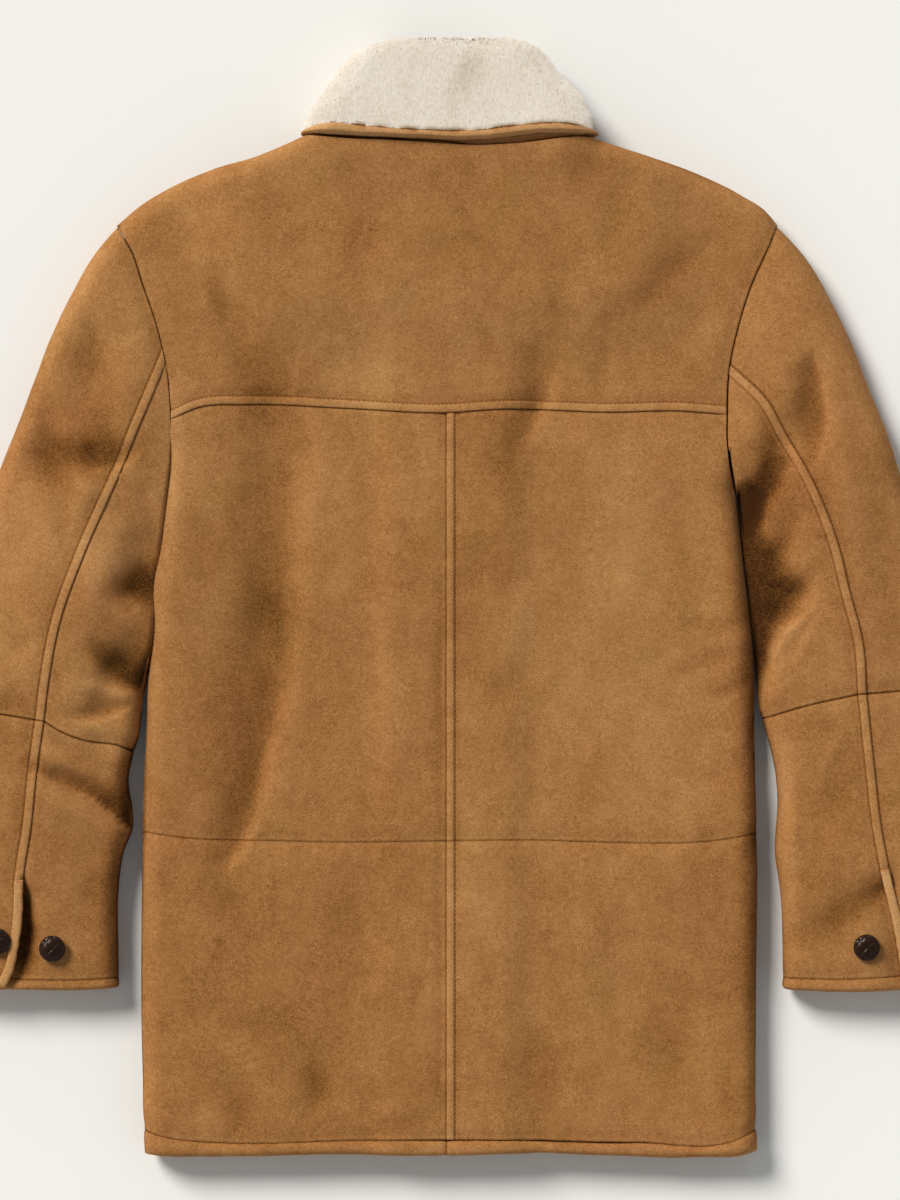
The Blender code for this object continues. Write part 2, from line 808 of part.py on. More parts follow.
def sleeve_row(plans, side, part, level, t):
    """Outer and inner outline of a sleeve part at row t: from its seam, over the fold, back under."""
    length, at = row_reader(plans[part, level], t)
    other = "inner" if part == "outer" else "outer"
    whole = length + row_reader(plans[other, level], t)[0]
    down = t * UPPER_SHARE if level == "upper" else UPPER_SHARE + t * (1 - UPPER_SHARE)
    crown = float(along(CROWN, down))
    angle = np.linspace(0, np.pi / 2, ROLL_STEPS + 1)
    flat = np.linspace(FOLD_RADIUS, length - SEAM / 2, SLEEVE_STEPS[part] + 1)[1:]
    distance = np.concatenate((FOLD_RADIUS * (1 - np.cos(angle)), flat))
    points = at(distance)
    x, y = points[:, 0], points[:, 1]
    rise = round_edge(distance)
    if part == "inner":
        fade = side_fade(side, y) if level == "upper" else 1.0
        rise = 1 - fade + fade * rise
        rise[0] = 0.0
    swell = crown * np.sin(np.pi * np.clip(distance / whole, 0, 1))
    middle = middle_z(x, y) + swell / 2
    roof = 2 * FOLD_RADIUS + swell - fold_depth(x, y)
    if part == "inner" and level == "lower":
        in_vent = smooth((VENT_TOP_Y - y) / VENT_FADE)
        roof = roof - VENT_DIP * in_vent * np.exp(-(((length - distance) / VENT_DIP_WIDTH) ** 2))
    top = middle + (roof - middle) * rise
    bottom = middle * (1 - rise)
    turn = FOLD_RADIUS - TURN_RADIUS * np.cos(angle)
    inside = at(np.concatenate((turn, flat)))
    half_gap = TURN_RADIUS * np.concatenate((np.sin(angle), np.ones(len(flat))))
    outer = np.concatenate((with_height(points, top)[::-1], with_height(points, bottom)[1:]))
    inner_top = with_height(inside, middle + half_gap)[::-1]
    inner = np.concatenate((inner_top, with_height(inside, middle - half_gap)[1:]))
    return outer, inner


def sleeve_rows(plans, side, part, level, shares):
    rows = [sleeve_row(plans, side, part, level, t) for t in shares]
    return np.array([row[0] for row in rows]), np.array([row[1] for row in rows])


def build_sleeve(side):
    plans = sleeve_plans(side)
    pieces = {"outer": "top", "inner": "under"}
    for (part, level), plan in plans.items():
        length = np.linalg.norm(plan(0.5, 1.0) - plan(0.5, 0.0))
        inset = SEAM / 2 / length
        if level == "upper":
            first, last = inset + ARMHOLE_EASE / length, 1 - inset
        else:
            first, last = inset, CUFF_START - inset
        shares = np.linspace(first, last, SLEEVE_ROWS[level])
        outer, inner = sleeve_rows(plans, side, part, level, shares)
        plate(f"sleeve_{side}_{pieces[part]}_{level}", outer, inner, "suede")
    build_cuff(side, plans)


def build_cuff(side, plans):
    length = np.linalg.norm(plans["outer", "lower"](0.5, 1.0) - plans["outer", "lower"](0.5, 0.0))
    inset = SEAM / 2 / length
    shares = (CUFF_START + inset, 1 - BAND_ROUND / length, 1.0)
    outer_part = sleeve_rows(plans, side, "outer", "lower", shares)
    inner_part = sleeve_rows(plans, side, "inner", "lower", shares)
    joined = []
    for first, second in zip(outer_part, inner_part):
        joined.append(np.concatenate((first, second[:, ::-1][:, 1:]), axis=1))
    skin, lining = joined
    turn = BAND_TURN * (skin[-1] - lining[-1])
    skin[-1] -= turn
    lining[-1] += turn
    plate(f"cuff_band_{side}", skin, lining, "suede")
    build_placket(side, plans)
    for label, x, y in SLEEVES[side]["button_spots"]:
        button(f"cuff_button_{side}_{label}", x, y, sleeve_height(plans, side, x, y))


def sleeve_height(plans, side, x, y):
    """Highest point of the sleeve's upper face under a button."""
    highest = 0.0
    for part in ("outer", "inner"):
        for t in np.linspace(PLACKET_SHARES[0], CUFF_START, DENSE):
            outer = sleeve_row(plans, side, part, "lower", t)[0]
            top = outer[: SLEEVE_STEPS[part] + 1]
            share = np.linspace(0, len(top) - 1, DENSE)
            fine = np.array([np.interp(share, range(len(top)), column) for column in top.T]).T
            near = np.hypot(fine[:, 0] - x, fine[:, 1] - y) < BUTTON_RADIUS / 2
            if near.any():
                highest = max(highest, fine[near, 2].max())
    return highest + SEAM


def build_placket(side, plans):
    """Narrow strip along the edge of the vent, laid on the top sleeve."""
    rows = []
    for t in np.linspace(*PLACKET_SHARES, PLACKET_ROWS):
        length, at = row_reader(plans["outer", "lower"], t)
        steps = length - np.array((PLACKET_INSET, PLACKET_WIDTH))
        outer = sleeve_row(plans, side, "outer", "lower", t)[0]
        height = outer[0:2, 2]
        spread = np.interp(steps, (length - FOLD_RADIUS, length), height[::-1])
        rows.append(with_height(at(steps), spread.max() + PLACKET_LIFT))
    under = np.array(rows)
    over = under.copy()
    over[..., 2] += PLACKET_THICK
    plate(f"cuff_placket_{side}", over, under, "suede")


# ---------------------------------------------------------------- collar


def collar_path():
    """Stations around the flattened collar: (stretch, share of that stretch)."""
    turn = COLLAR_SIDES[0][2] - COLLAR_HALF_HEIGHT
    front = [COLLAR_END_X] + [x for x in FRONT_STATIONS[::-1] if COLLAR_END_X < x < turn]
    front_shares = [(x - COLLAR_END_X) / (turn - COLLAR_END_X) for x in front]
    half = [x for x in BACK_STATIONS if x < turn] + [-CENTRE_BACK_X]
    back_shares = [(turn - x) / (2 * turn) for x in half]
    back_shares += [1 - share for share in back_shares[-2::-1]]
    turn_shares = np.linspace(0, 1, COLLAR_TURN_STEPS)
    stations = [("front_left", share) for share in front_shares]
    stations += [("turn_left", share) for share in turn_shares]
    stations += [("back", share) for share in back_shares]
    stations += [("turn_right", share) for share in turn_shares]
    return stations + [("front_right", 1 - share) for share in reversed(front_shares)]


def collar_point(station, inward, y):
    """Point of the collar at a station, a depth inward from its outside and a height y in plan."""
    stretch, share = station
    columns = np.array(COLLAR_SIDES)
    left = float(through(y, columns[:, 0], columns[:, 1])) + COLLAR_HALF_HEIGHT
    right = float(through(y, columns[:, 0], columns[:, 2])) - COLLAR_HALF_HEIGHT
    radius = COLLAR_HALF_HEIGHT - inward
    angle = np.pi * share
    if stretch == "front_left":
        x, z = -COLLAR_END_X + (left + COLLAR_END_X) * share, -radius
    elif stretch == "turn_left":
        x, z = left - radius * np.sin(angle), -radius * np.cos(angle)
    elif stretch == "back":
        x, z = left + (right - left) * share, radius
    elif stretch == "turn_right":
        x, z = right + radius * np.sin(angle), radius * np.cos(angle)
    else:
        x, z = right + (COLLAR_END_X - right) * share, -radius
    return np.array((x, y, COLLAR_HALF_HEIGHT + z))


def collar_levels(station):
    """y of the turned-down edge, the neck seam and the fold at a station."""
    x, _, z = collar_point(station, COLLAR_WALL, FRONT_FALL_EDGE[0][1])
    at_back = z >= COLLAR_HALF_HEIGHT - SEAM
    if at_back:
        fall = float(along(FALL_EDGE, x))
        neck = float(along(SHOULDER_LINE, x)) + SEAM + NECK_EASE
        return fall, neck, ROLL_LINE_Y
    fall = float(along(FRONT_FALL_EDGE, abs(x)))
    neck_x = abs(collar_point(station, COLLAR_WALL + COLLAR_FOLD_GAP, FRONT_FALL_EDGE[0][1])[0])
    neck = float(along(FRONT_NECK, min(neck_x, NECK_HALF))) + SEAM + NECK_EASE
    return fall, neck, float(along(FRONT_ROLL_LINE, abs(x)))


def build_collar():
    fur, hide, band, band_hide = [], [], [], []
    low, high = COLLAR_WALL, COLLAR_WALL + COLLAR_FOLD_GAP
    angles = np.linspace(0, np.pi, FOLD_STEPS + 1)
    for station in collar_path():
        fall, neck, fold = collar_levels(station)
        bend = fold - COLLAR_FOLD
        band_top, band_turn = fall + COLLAR_BAND, fall + COLLAR_BAND_ROUND
        drop = np.linspace(band_top + SEAM, bend, COLLAR_STEPS + 1)[:-1]
        back = np.linspace(bend, neck, COLLAR_STEPS + 1)[1:]

        def folded(radius, first, last):
            turns = [(COLLAR_FOLD - radius * np.cos(a), bend + radius * np.sin(a)) for a in angles]
            section = [(first, y) for y in drop] + turns + [(last, y) for y in back]
            return [collar_point(station, inward, y) for inward, y in section]

        fur.append(folded(COLLAR_FOLD, 0.0, 2 * COLLAR_FOLD))
        hide.append(folded(COLLAR_FOLD_GAP / 2, low, high))
        outside = ((0.0, band_top), (0.0, band_turn), (COLLAR_BAND_ROUND, fall))
        lining = ((low, band_top), (low, band_turn), (low, fall))
        band.append([collar_point(station, inward, y) for inward, y in outside])
        band_hide.append([collar_point(station, inward, y) for inward, y in lining])
    plate("collar", np.array(fur), np.array(hide), "fleece")
    plate("collar_binding", np.array(band), np.array(band_hide), "suede")


# ---------------------------------------------------------------- buttons


def button(name, x, y, z, down=False):
    """Domed button on a short shank; its seat is at z, and it faces down when asked."""
    sign = -1.0 if down else 1.0
    shank = SHANK_HEIGHT * (SUNK_SHANK if down else 1.0)
    dome = BUTTON_HEIGHT - shank
    profile = [(0.0, 0.0), (SHANK_RADIUS, 0.0), (SHANK_RADIUS, shank)]
    profile.append((BUTTON_WAIST * BUTTON_RADIUS, shank))
    for angle in np.radians(DOME_ANGLES):
        height = DOME_LOW + (1 - DOME_LOW) * np.sin(angle)
        profile.append((BUTTON_RADIUS * np.cos(angle), shank + dome * height))
    profile.append((0.0, shank + dome))
    shape = bmesh.new()
    line = [shape.verts.new((r * MM, 0.0, sign * h * MM)) for r, h in profile]
    edges = [shape.edges.new(pair) for pair in zip(line, line[1:])]
    bmesh.ops.spin(
        shape,
        geom=line + edges,
        cent=(0, 0, 0),
        axis=(0, 0, 1),
        angle=2 * np.pi,
        steps=BUTTON_SEGMENTS,
        use_merge=True,
    )
    bmesh.ops.remove_doubles(shape, verts=shape.verts, dist=1e-6)
    made = finish_object(name, shape, "button_leather")
    made.location = (x * MM, y * MM, z * MM)
    return made


def cut_recess(panel, number, y):
    """Dent in the outer front's face where a button presses into it."""
    bpy.ops.mesh.primitive_cylinder_add(
        vertices=BUTTON_SEGMENTS,
        radius=RECESS_RADIUS * MM,
        depth=2 * RECESS_DEPTH * MM,
        location=(0.0, y * MM, 0.0),
    )
    cutter = bpy.context.object
    cutter.name = f"recess_cutter_{number}"
    cutter.hide_render = True
    cutter.display_type = "WIRE"
    cut = panel.modifiers.new(f"recess_{number}", "BOOLEAN")
    cut.operation = "DIFFERENCE"
    cut.object = cutter


def main():
    for old in list(bpy.data.objects):
        bpy.data.objects.remove(old, do_unlink=True)
    build_back()
    build_fronts()
    for side in SLEEVES:
        build_sleeve(side)
    build_collar()


main()
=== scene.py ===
"""Looks of the shearling coat: suede shells with their seams and folds, fur collar, woven buttons.

Tables and sizes are in millimetres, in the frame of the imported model; meshes are made in metres.
Grids run from the top down in rows (t) and from side to centre in columns (s).
"""

import bpy
import numpy as np
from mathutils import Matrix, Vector


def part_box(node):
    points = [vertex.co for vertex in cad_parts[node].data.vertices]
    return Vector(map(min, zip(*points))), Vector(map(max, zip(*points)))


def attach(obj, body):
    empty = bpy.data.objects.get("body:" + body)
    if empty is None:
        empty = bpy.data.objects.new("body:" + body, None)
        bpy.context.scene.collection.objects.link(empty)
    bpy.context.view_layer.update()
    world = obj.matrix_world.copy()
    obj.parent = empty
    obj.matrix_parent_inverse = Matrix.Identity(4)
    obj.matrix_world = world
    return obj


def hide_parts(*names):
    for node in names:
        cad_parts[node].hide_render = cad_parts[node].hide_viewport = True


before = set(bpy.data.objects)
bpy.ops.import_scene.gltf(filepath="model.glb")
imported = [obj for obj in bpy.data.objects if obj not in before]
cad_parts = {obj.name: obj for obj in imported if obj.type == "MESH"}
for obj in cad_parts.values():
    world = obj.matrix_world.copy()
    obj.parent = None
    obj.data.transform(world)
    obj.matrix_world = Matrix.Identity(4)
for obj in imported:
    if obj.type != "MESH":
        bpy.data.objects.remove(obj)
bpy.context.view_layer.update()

MM = 0.001
ROOT = "root"

# ------------------------------------------------------------------ the coat's own sizes

WALL, NECK_WALL = 14.0, 12.0  # hide and pile of one layer
LAYER_GAP = 3.0  # between the back and the fronts
SEAM, EDGE_SEAM = 0.06, 0.8  # gaps between pieces, across a seam and at the sides
FOLD_RADIUS = WALL + LAYER_GAP / 2
TURN_RADIUS = LAYER_GAP / 2
EDGE_FADE = 50.0  # run of the sides' rounding below the underarm
SIDE_CLEARANCE = 1.0  # of a sleeve from the body at the underarm

BODY_SIDES = (  # y, left x, right x
    (304.5, -273.5, 269), (283, -260.5, 259), (256.5, -251.5, 247), (224, -240.5, 236.5),
    (183, -231.5, 228), (152, -228.5, 226.5), (126, -229.5, 226.5), (96, -233.5, 232),
    (24.5, -241, 241), (-40, -246, 248), (-120, -250, 250), (-240, -253, 251), (-365, -253, 251),
    (-437, -250.5, 250), (-457.5, -249.5, 251),
)
UNDERARM_Y = {"left": 140.0, "right": 122.0}
SHOULDER_LINE = (  # x, y
    (-273.5, 304.5), (-257, 319), (-229.5, 336), (-193.5, 351), (-158, 361), (-127, 374), (-121, 376.5),
    (-110, 376.4), (-98, 375.4), (-80, 373.9), (-60, 373.2), (-34, 372), (0, 369.6), (24, 368.6),
    (42, 369.4), (60, 370.6), (80, 373.2), (93, 374.7), (108, 375.6), (118, 374.4), (125, 372.5),
    (167, 359.5), (204, 346.5), (238.5, 330), (263, 312.5), (269, 304.5),
)
FRONT_NECK = (  # distance from the centre, y
    (0, 318), (40, 320), (65, 325), (85, 334), (96.5, 343), (103.5, 352), (108.6, 365), (110.5, 376),
)
NECK_HALF = 110.5
NECK_FADE = (110.0, 124.0)  # distances from the centre between which the neck's edge rounds off
YOKE_SEAM = (  # x, y
    (-229, 145.5), (-207.5, 155), (-168, 158), (-88.5, 155), (-5, 151), (45, 154), (130.5, 151.5),
    (187.5, 152.5), (227, 149.5),
)
WAIST_SEAM = (  # x, y
    (-252, -192.5), (-213, -197.5), (-139.5, -199.5), (-93.5, -200.5), (-4, -199.5), (71, -199),
    (117, -200.5), (230, -197.5), (251, -193.5),
)
HEM_SEAM = (  # x, y
    (-251, -437), (-236.5, -441.5), (-183, -447), (-83.5, -445), (-4, -444), (61, -444.5),
    (151, -446.5), (240, -442.5), (250.5, -437),
)
HEM_END = (  # x, y
    (-250, -455.5), (-220, -457.5), (-183, -457.5), (-93.5, -455.5), (-8, -457.5), (71, -455.5),
    (151, -458.5), (205, -458), (240, -456), (251.5, -453),
)
CENTRE_BACK_X = -2.8
BAND_ROUND, BAND_TURN = 4.0, 0.3  # rounding of a binding's edge, and most of its wall that turns in
BAND_SWELL, BAND_SWELL_POWER = 1.4, 0.8

OVERLAP_HALF, OVERLAP_RISE = 30.0, 4.0  # of the left front over the right
OVERLAP_CLEAR, OVERLAP_RAMP = 12.0, 30.0
FRONT_BUTTON_YS = (175.0, 55.0, -65.0, -185.0)
RECESS_RADIUS, RECESS_DEPTH, RECESS_RAMP = 11.8, 7.9, 4.0  # round a front button

COLLAR_SIDES = (  # y, left x, right x
    (376.5, -124, 124), (384, -121.5, 120), (392.5, -118, 116.5), (409, -105.5, 107),
    (426, -94.5, 91.5), (441, -83, 80), (449, -73, 73.5), (457, -57, 62),
)
FALL_EDGE = (  # x, y
    (-124.5, 373.4), (-119, 377.4), (-110, 378.4), (-98, 377.4), (-80, 376.2), (-60, 375.3),
    (-40, 374.8), (-20, 374), (0, 373), (20, 373), (40, 374.8), (60, 377.1), (80, 378.8), (100, 378.4),
    (109, 378.4), (116, 376.6), (122.5, 373.4),
)
FRONT_FALL_EDGE = (  # distance from the centre, y
    (0, 288), (48, 294), (75, 334), (97, 372), (125, 374.5),
)
FRONT_ROLL_LINE = (  # distance from the centre, y
    (0, 432), (60, 438), (97, 448), (125, 457),
)
ROLL_LINE_Y = 457.0
COLLAR_HALF_HEIGHT = 27.5
COLLAR_FOLD, COLLAR_FOLD_GAP = 13.0, 1.0  # outer radius of the fold, and the gap inside it
COLLAR_WALL = COLLAR_FOLD - COLLAR_FOLD_GAP / 2
NECK_EASE = 0.3
COLLAR_END_X = 4.0  # half of its opening at the front
COLLAR_BAND = 8.3  # height of its binding at the front
COLLAR_LIFT = 14.0  # of the neck above the floor, on the collar's front
LIFT_BOX, LIFT_MARGIN, LIFT_RAMP = (125.0, 286.0), 28.0, 75.0

SLEEVES = {
    "left": {
        "side": -1,
        "seam_top_y": 191.0,
        "outer": (
            (-273.5, 304.5), (-290.5, 282.5), (-311.5, 244.5), (-327, 213), (-343, 174), (-369, 108),
            (-393.5, 42.5), (-411.5, -19), (-425, -86),
        ),
        "outer_lower": ((-425, -86), (-430, -134), (-430, -191), (-424, -322)),
        "seam": (
            (-254, 140), (-274.5, 90), (-298.5, 35.5), (-319.5, -24.5), (-327.5, -66.5), (-332, -101.7),
        ),
        "seam_lower": (
            (-332, -101.7), (-337, -137), (-342.5, -188.5), (-349, -231), (-350, -258), (-353, -284),
            (-357, -304), (-365, -321.5),
        ),
        "inner_bend": ((-252, -84.5), (-255.5, -116.5), (-258.5, -126.5)),
        "inner_lower": (
            (-258.5, -126.5), (-263.5, -151), (-260.5, -171.5), (-259.5, -187), (-268, -211.5),
            (-271, -232), (-271.5, -292.5), (-271, -321),
        ),
        "elbow_outer": ((-332, -101.7), (-369, -95.5), (-425, -86)),
        "elbow_inner": (
            (-332, -101.7), (-317.5, -110.5), (-296.5, -118), (-272, -121.5), (-258.5, -126.5),
        ),
        "cuff_end_outer": ((-365, -321.5), (-424, -322)),
        "cuff_end_inner": ((-365, -321.5), (-310, -322.5), (-271, -321)),
    },
    "right": {
        "side": 1,
        "seam_top_y": 182.0,
        "outer": (
            (269, 304.5), (291, 279), (309.5, 249.5), (328, 213), (346, 169), (361.5, 127),
            (369, 103.5), (393.5, 38.5), (411.5, -23), (424.5, -72),
        ),
        "outer_lower": ((424.5, -72), (430, -134), (430, -191), (423.5, -322)),
        "seam": (
            (252, 158.5), (270.5, 127), (291, 90), (309.5, 43.5), (320, 1.5), (330.5, -40),
            (333.5, -79.8),
        ),
        "seam_lower": (
            (333.5, -79.8), (340.5, -146), (345.5, -188.5), (354.5, -234.5), (363, -268), (367, -292.5),
            (371, -321.5),
        ),
        "inner_bend": ((252.5, -83), (255, -100)),
        "inner_lower": (
            (255, -100), (263, -125), (267, -143), (269, -165), (268, -211.5), (272, -240), (273, -310),
            (272.5, -322),
        ),
        "elbow_outer": ((333.5, -79.8), (369, -77), (424.5, -72)),
        "elbow_inner": ((333.5, -79.8), (290, -89.5), (255, -100)),
        "cuff_end_outer": ((371, -321.5), (423.5, -322)),
        "cuff_end_inner": ((371, -321.5), (320, -323.5), (272.5, -322)),
    },
}
BESIDE_BODY = {  # y, clearance from the body; the left sleeve leans on it
    "left": ((110, -2.6), (80, -3.4), (40, -3.4), (0, -3.2), (-40, -3)),
    "right": ((110, 1), (80, 1), (40, 1), (0, 1), (-40, 1)),
}
CROWN = (  # share of the way from armhole to cuff, extra height along the sleeve's middle
    (0, 0), (0.12, 8), (0.4, 11), (0.65, 9), (0.9, 5), (1, 3),
)
ARMHOLE_EASE = 0.5
UPPER_SHARE = 0.62  # of a sleeve, above its elbow seam
CUFF_START = 0.955  # share of the lower sleeve at which its cuff binding starts
VENT_DIP, VENT_DIP_WIDTH = 5.0, 13.0  # how far the open vent sinks beside its placket
VENT_TOP_Y, VENT_FADE = -232.0, 15.0

# Largest folds, as soft troughs along straight lines
FOLDS = (  # x from, y from, x to, y to, half width, depth
    (-152, 137, -154, -35, 30, 2.5),
    (-154, -35, -176, -190, 30, 2),
    (-285, 208, -318, 125, 22, 4.5),
    (-252, 40, -263, 2, 14, 5),
    (-262, -42, -284, -84, 12, 4),
    (-320, -146, -268, -182, 9, 4),
    (240, 82, 286, 143, 17, 5),
    (292, 178, 297, 130, 13, 3.5),
    (252, -66, 286, 0, 15, 6),
)

FADED = 0.35  # strength of a crease's ends


def even(left, right, *points):
    """Points of a crease of one width that fades at both ends."""
    last = len(points) - 1
    return tuple((x, y, left, right, 1 if 0 < i < last else FADED) for i, (x, y) in enumerate(points))


# Creases: depth (ridges below 0), painted shade (below 0 darker in troughs and on edges away from the lamp,
# above 0 painted light on ridges and lit edges; rows of depth 0 are only painted), power of the fall on the
# right of the line (2 soft, 6 crisp)
# and points down the line: x, y, width on the left, width on the right, strength
BODY_CREASES = (
    # main fold of the upper left panel, walked upwards, and the rolls beside it
    (7.5, -0.19, 2, (
        (-177, -212, 12, 5, 0.6), (-164, -172, 20, 6, 1), (-153, -120, 27, 8, 1),
        (-143, -75, 30, 10, 1), (-139, -35, 31, 13, 1), (-138, 0, 31, 16, 0.95),
        (-142, 35, 30, 20, 0.8), (-141, 75, 31, 20, 0.7), (-135, 110, 33, 20, 0.6),
        (-130, 150, 36, 18, 0.5),
    )),
    (-2.5, 0.02, 2, even(20, 24, (-216, 150), (-220, 60), (-222, -40), (-224, -120), (-222, -180))),
    (-1.2, 0.03, 2, even(12, 14, (-104, 140), (-108, 90), (-110, 40), (-112, -10))),
    (-1.5, 0.03, 2, even(10, 14, (-134, -120), (-136, -150), (-142, -190))),
    # painted light along the body's lit left edge
    (0, 0.05, 2, even(8, 10, (-222, 158), (-223, 120), (-228, 60))),
    # swell below the collar
    (-5.5, 0.02, 2, (
        (-122, 372, 20, 26, 0.2), (-92, 370, 20, 30, 1), (92, 370, 20, 30, 1), (122, 372, 20, 26, 0.2),
    )),
    # right of the centre seam
    (3, -0.12, 2, (
        (80, 175, 8, 16, 0.4), (72, 158, 8, 18, 1), (60, 136, 9, 18, 1), (46, 108, 9, 14, 0.5),
    )),
    (1.4, -0.05, 2, even(16, 12, (22, 90), (18, 20), (20, -60))),
    (-2, 0.06, 2, even(14, 14, (68, 22), (58, -12), (44, -46))),
    (1.6, -0.07, 2, even(14, 16, (62, -58), (46, -74), (30, -92))),
    (-2, 0.04, 2, even(24, 24, (160, 120), (150, 60), (142, 0), (128, -50))),
    (1.5, -0.06, 2, even(10, 12, (196, 20), (204, -20), (214, -52))),
    (1.2, -0.08, 2, even(5, 7, (246, -18), (222, -26), (196, -24))),
    (1.4, -0.08, 2, even(5, 7, (246, -44), (220, -50), (190, -62))),
    (1.2, -0.06, 2, even(5, 6, (246, -70), (226, -78), (205, -80))),
    (1.2, -0.06, 2, even(10, 10, (240, -130), (214, -150), (190, -148))),
    # painted shade along the body's right edge, away from the lamp
    (0, -0.16, 2, (
        (236, 90, 8, 8, 0), (240, 20, 10, 12, 0.8), (248, -40, 10, 12, 1), (250, -200, 10, 12, 1),
    )),
    # beside the centre seam
    (0.6, -0.07, 2, even(3, 6, (-7, 20), (-8, -60), (-8, -190))),
    (0.6, -0.07, 2, even(3, 6, (-7, -215), (-8, -300), (-8, -420))),
    (0.5, -0.05, 2, even(5, 5, (-12, -230), (-22, -300), (-30, -350))),
    # yoke
    (3, -0.10, 2, (
        (-198, 262, 6, 6, 0.3), (-188, 240, 12, 6, 1), (-172, 208, 18, 9, 1), (-158, 168, 26, 12, 0.9),
    )),
    (2.4, -0.10, 2, (
        (94, 262, 10, 12, 0.3), (88, 226, 12, 14, 0.6), (78, 190, 12, 14, 1), (72, 158, 10, 12, 1),
    )),
    (1.6, -0.07, 2, even(8, 8, (128, 224), (126, 190), (122, 164))),
    (2.2, -0.08, 2, even(9, 12, (210, 294), (184, 266), (164, 246), (152, 232))),
    (1, -0.03, 2, even(6, 6, (10, 232), (34, 206), (60, 186))),
    (-1.2, 0.03, 2, even(7, 7, (20, 242), (46, 214), (76, 198))),
    (1.4, -0.06, 2, even(12, 10, (142, 336), (134, 312), (128, 292))),
    (1.2, -0.05, 2, even(14, 10, (108, 366), (112, 346), (120, 328))),
    (-2, 0.03, 2, even(20, 20, (-60, 352), (-30, 300), (-60, 240), (-50, 190))),
    (1.4, -0.06, 2, even(22, 18, (-190, 322), (-150, 318), (-110, 322))),
    (-1.5, 0.04, 2, even(6, 6, (-222, 300), (-208, 280), (-196, 264))),
    # lower back
    (3.4, -0.16, 2, (
        (-104, -376, 8, 10, 0.3), (-108, -392, 11, 12, 0.8), (-110, -406, 12, 12, 1),
        (-114, -420, 6, 8, 0.3),
    )),
    (1.4, -0.06, 2, even(16, 16, (-190, -222), (-176, -250), (-150, -272))),
    (1, -0.05, 2, even(8, 8, (-232, -222), (-233, -236), (-230, -250))),
    (1.4, -0.06, 2, even(16, 16, (-190, -345), (-160, -350), (-130, -345))),
    (1.6, -0.09, 2, even(10, 12, (-178, -412), (-174, -428), (-168, -444))),
    (1.6, -0.08, 2, even(7, 9, (-64, -440), (-44, -430), (-16, -426))),
    (2, -0.09, 2, even(18, 22, (86, -350), (74, -385), (64, -428))),
    (2.4, -0.10, 2, even(16, 20, (186, -330), (182, -372), (178, -425))),
    (1.2, -0.05, 2, even(8, 8, (34, -350), (36, -366), (40, -380))),
    (-1.6, 0.04, 2, even(18, 18, (130, -230), (112, -290), (110, -330))),
    (-1.2, 0.03, 2, even(16, 16, (-40, -290), (-70, -330), (-60, -380))),
    # painted shade along the body's right edge, away from the lamp
    (0, -0.14, 2, (
        (250, -200, 10, 12, 1), (250, -300, 10, 12, 1), (251, -380, 10, 10, 0.8),
        (250, -440, 8, 10, 0.7),
    )),
    (1.4, -0.08, 2, even(10, 12, (236, -350), (232, -390), (236, -430))),
)
